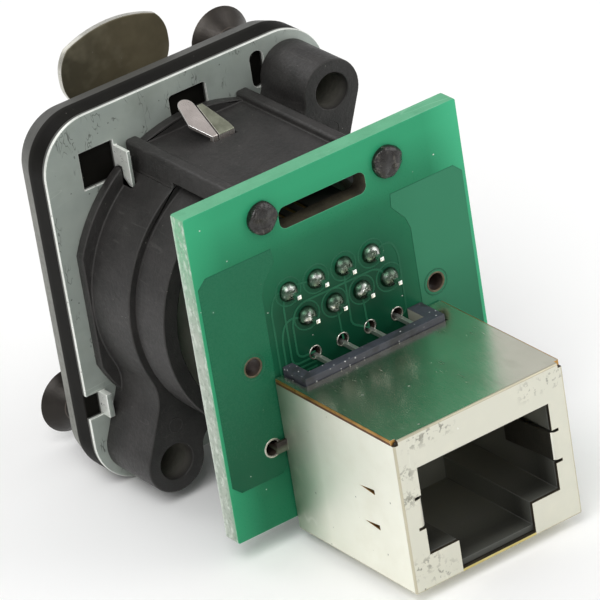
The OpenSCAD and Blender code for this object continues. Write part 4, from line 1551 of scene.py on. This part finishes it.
@dataclass
class FrontJackParts(Assembly):
    """The moulded block and the eight wires of the front jack."""

    edge: float = 0.06
    wire_edge: float = 0.03
    cut_y: float = 9.4

    def build(self) -> None:
        """Builds the block and the wires."""
        self.bench.soften(Softened(
            "front_jack_block", ("front_jack_housing",), Slot.BLACK, (JACK_BLACK,), self.edge,
            cuts=cut_at(Axis.X, 0.0) + cut_at(Axis.Y, self.cut_y),
        ))
        wires = tuple(f"front_contact_{k}" for k in range(1, 9))
        self.bench.soften(Softened("front_jack_wires", wires, Slot.CONTACT, (CONTACT_GOLD,), self.wire_edge))


@dataclass
class RearJackParts(Assembly):
    """The folded shield, the insert and the eight wires of the rear jack.

    Attributes:
        lance_z: Heights of the lances in the sides.
        seam_edge: How far the raw edge of the top sheet stands out, its foot and top against the shield's top, and
            its rounding.
        seam_gap: The same of the dark bar under it, painted shade of the seam's gap.
    """

    middle: float = -0.85
    half: float = 7.75
    top: float = -1.6
    bottom: float = -14.5
    foot: float = 22.0
    end: float = 36.8
    sheet: float = 0.3
    sheet_edge: float = 0.03
    sheet_mark: float = 0.5
    fold_r: float = 0.16
    lance_z: Point = (-7.1, -10.1)
    insert_edge: float = 0.05
    insert_weld: float = 0.025
    cut_y: float = 34.6
    ledge_low: float = -1.93
    ledge_rear: float = 25.0
    slot_half: float = 3.4
    wire_edge: float = 0.03
    seam_start: float = 22.1
    seam_stop: float = 0.42
    seam_depth: float = 0.06
    seam_edge: tuple[float, ...] = (0.02, -0.22, 0.012, 0.03)
    seam_gap: tuple[float, ...] = (0.012, -0.42, -0.2, 0.01)

    def build(self) -> None:
        """Builds the shield with its seams, the insert and the wires."""
        slot = (self.middle - self.slot_half, self.middle, self.middle + self.slot_half)
        self.bench.soften(Softened(
            "shield_sheet", ("rear_jack_shield",), Slot.SHIELD,
            (NICKEL, NICKEL_TOP, CUT_SHADE, LIP_BRASS, TAB_BRASS_SHADE, INNER_SHADE, RAW_BRASS), self.sheet_edge,
            mark=self.sheet_mark, fold=self._is_fold, fold_radius=self.fold_r, zone=self._zone,
            cuts=cut_at(Axis.X, *slot) + cut_at(Axis.Z, *self.lance_z, self.bottom + self.sheet),
        ))
        self._seam("seam_edges", RAW_BRASS, *self.seam_edge)
        self._seam("seam_gap_shades", SEAM_SHADE, *self.seam_gap)
        self.bench.soften(Softened(
            "rear_jack_insert", ("rear_jack_housing",), Slot.BLACK, (INSERT_BLACK, SLATE), self.insert_edge,
            weld=self.insert_weld, zone=self._is_ledge,
            cuts=cut_at(Axis.X, self.middle) + cut_at(Axis.Y, self.cut_y),
        ))
        wires = tuple(f"rear_contact_{k}" for k in range(1, 9))
        self.bench.soften(Softened("rear_jack_wires", wires, Slot.CONTACT, (REAR_CONTACT,), self.wire_edge))

    def _is_fold(self, edge: Edge) -> bool:
        """Says whether an edge is a bend round the box's end.

        Args:
            edge: The edge.

        Returns:
            True for a bend.
        """
        places = [vert.co for vert in edge.verts]
        at_end = all(abs(place.y - self.end) < TOUCH for place in places)
        at_side = all(abs(abs(place.x - self.middle) - self.half) < TOUCH for place in places)
        at_low = all(abs(place.z - self.bottom) < TOUCH for place in places)
        at_top = all(abs(place.z - self.top) < TOUCH for place in places)
        return (at_end and (at_side or at_top or at_low)) or (at_side and at_low)

    def _zone(self, face: Face) -> int:
        """Tells the shield's faces apart.

        Args:
            face: The face.

        Returns:
            0 sides and end, 1 top, 2 cut edges, 3 lip under the slot, 4 tabs, 5 inside, 6 lances; 2, 4, 5 painted
            shade.
        """
        place = face.calc_center_median()
        off = abs(place.x - self.middle)
        if off > self.half + NEAR or place.y < self.foot - NEAR:
            return 4
        if place.z > self.top - TOUCH:
            return 1
        if place.y > self.end - NEAR:
            return 3 if off < self.slot_half and place.z < self.bottom + self.sheet else 0
        inside = off < self.half - CLEAR and self.bottom + CLEAR < place.z < self.top - CLEAR
        if inside and place.y > self.end - self.sheet and is_cut_edge(face):
            return 2
        if inside and off > self.half - self.sheet and abs(face.normal.x) < STEEP:
            return 6
        return 5 if inside and face.normal.y < LEAN else 0

    def _is_ledge(self, face: Face) -> int:
        """Gives 1 for the ledge over the tails."""
        place = face.calc_center_median()
        return int(place.z > self.ledge_low and place.y < self.ledge_rear)

    def _seam(self, name: str, finish: Finish, out: float, low: float, high: float, lip: float) -> None:
        """Lays a bar with rounded edges along both sides of the shield's top.

        Args:
            name: Name of the piece.
            finish: Its finish.
            out: How far it stands out of the side.
            low: Its foot, against the top.
            high: Its top, against the shield's.
            lip: Radius of its edges.
        """
        mesh = self.bench.start()
        for side in SIDES:
            face = self.middle + side * self.half
            near, far = sorted((face - side * self.seam_depth, face + side * out))
            first = Vector((near, self.seam_start, self.top + low))
            last = Vector((far, self.end - self.seam_stop, self.top + high))
            matrix = Matrix.Translation((last + first) / 2) @ Matrix.Diagonal((*(last - first), 1.0))
            verts = bmesh.ops.create_cube(mesh, size=1.0, matrix=matrix)["verts"]
            edges = list({edge for vert in verts for edge in vert.link_edges})
            bmesh.ops.bevel(mesh, geom=edges, offset=lip, segments=2, affect="EDGES", clamp_overlap=True, **ROUND)
        self.bench.piece(name, mesh, (finish,), Slot.SHIELD)


@dataclass
class Softlight:
    """A square studio light: its place and aim in millimetres, size and power."""

    name: str
    place: Triple
    size: float
    power: float
    aim: Triple = (0.0, 16.0, 0.0)

    def build(self) -> None:
        """Adds the light."""
        data = bpy.data.lights.new(self.name, "AREA")
        data.shape = "SQUARE"
        data.size = self.size * MM
        data.energy = self.power
        lamp = bpy.data.objects.new(self.name, data)
        place = Vector(self.place) * MM
        way = Vector(self.aim) * MM - place
        lamp.matrix_world = Matrix.Translation(place) @ way.to_track_quat("-Z", "Y").to_matrix().to_4x4()
        bpy.context.scene.collection.objects.link(lamp)


@dataclass
class Studio(Assembly):
    """The camera, the pale floor and the soft light round the object."""

    azimuth: float = 148.598
    elevation: float = 27.284
    roll: float = 9.354
    target: Triple = (0.02, 16.09, 0.07)
    distance: float = 406.464
    lens: float = 324.233
    sensor: float = 36.0
    clip: Point = (0.01, 50.0)
    floor_z: float = -15.5
    floor_size: float = 3000.0
    sky: float = 0.55
    lights: tuple[Softlight, ...] = (
        Softlight("key", (330.0, 260.0, 520.0), 420.0, 2.2),
        Softlight("fill", (-420.0, 330.0, 330.0), 420.0, 1.0),
        Softlight("front", (120.0, -480.0, 360.0), 420.0, 0.8),
    )

    def build(self) -> None:
        """Sets up camera, world, floor and lights."""
        bpy.context.scene.view_settings.view_transform = "Standard"
        self._camera()
        self._world()
        self._floor()
        for light in self.lights:
            light.build()

    def _camera(self) -> None:
        """Places the camera at the viewing angle of the photograph."""
        turn, lift, roll = (math.radians(part) for part in (self.azimuth, self.elevation, self.roll))
        away = Vector((math.sin(turn) * math.cos(lift), -math.cos(turn) * math.cos(lift), math.sin(lift)))
        level = (-away).cross(Vector((0, 0, 1))).normalized()
        up = math.cos(roll) * level.cross(-away) + math.sin(roll) * level
        right = (-away).cross(up)
        data = bpy.data.cameras.new("camera")
        data.lens = self.lens
        data.sensor_width = self.sensor
        data.clip_start, data.clip_end = self.clip
        camera = bpy.data.objects.new("camera", data)
        axes = Matrix((right, up, away)).transposed().to_4x4()
        camera.matrix_world = Matrix.Translation((Vector(self.target) + away * self.distance) * MM) @ axes
        bpy.context.scene.collection.objects.link(camera)
        bpy.context.scene.camera = camera

    def _world(self) -> None:
        """Lights the scene evenly from all round."""
        world = bpy.data.worlds.new("soft_sky")
        world.use_nodes = True
        sky = world.node_tree.nodes["Background"]
        sky.inputs["Color"].default_value = (1.0, 1.0, 1.0, 1.0)
        sky.inputs["Strength"].default_value = self.sky
        bpy.context.scene.world = world

    def _floor(self) -> None:
        """Lays the pale floor under the object."""
        mesh = bmesh.new()
        bmesh.ops.create_grid(mesh, x_segments=4, y_segments=4, size=self.floor_size / 2)
        bmesh.ops.translate(mesh, vec=(0, 0, self.floor_z), verts=mesh.verts)
        bmesh.ops.scale(mesh, vec=(MM,) * 3, verts=mesh.verts)
        data = bpy.data.meshes.new("floor")
        mesh.to_mesh(data)
        mesh.free()
        data.materials.append(self.bench.paints.material(FLOOR_WHITE))
        floor = bpy.data.objects.new("floor", data)
        bpy.context.scene.collection.objects.link(floor)


def main() -> None:
    """Builds every sub-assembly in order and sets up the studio."""
    logging.basicConfig(level=logging.INFO, format="%(name)s: %(message)s")
    bench = Workbench(Paintshop())
    kinds = (FlangeParts, PlateParts, HousingParts, LatchParts, BoardParts, FrontJackParts, RearJackParts, Studio)
    for kind in kinds:
        kind(bench).build()
        LOG.info("built %s", kind.__name__)
    bpy.context.view_layer.update()


if __name__ == "__main__":
    main()
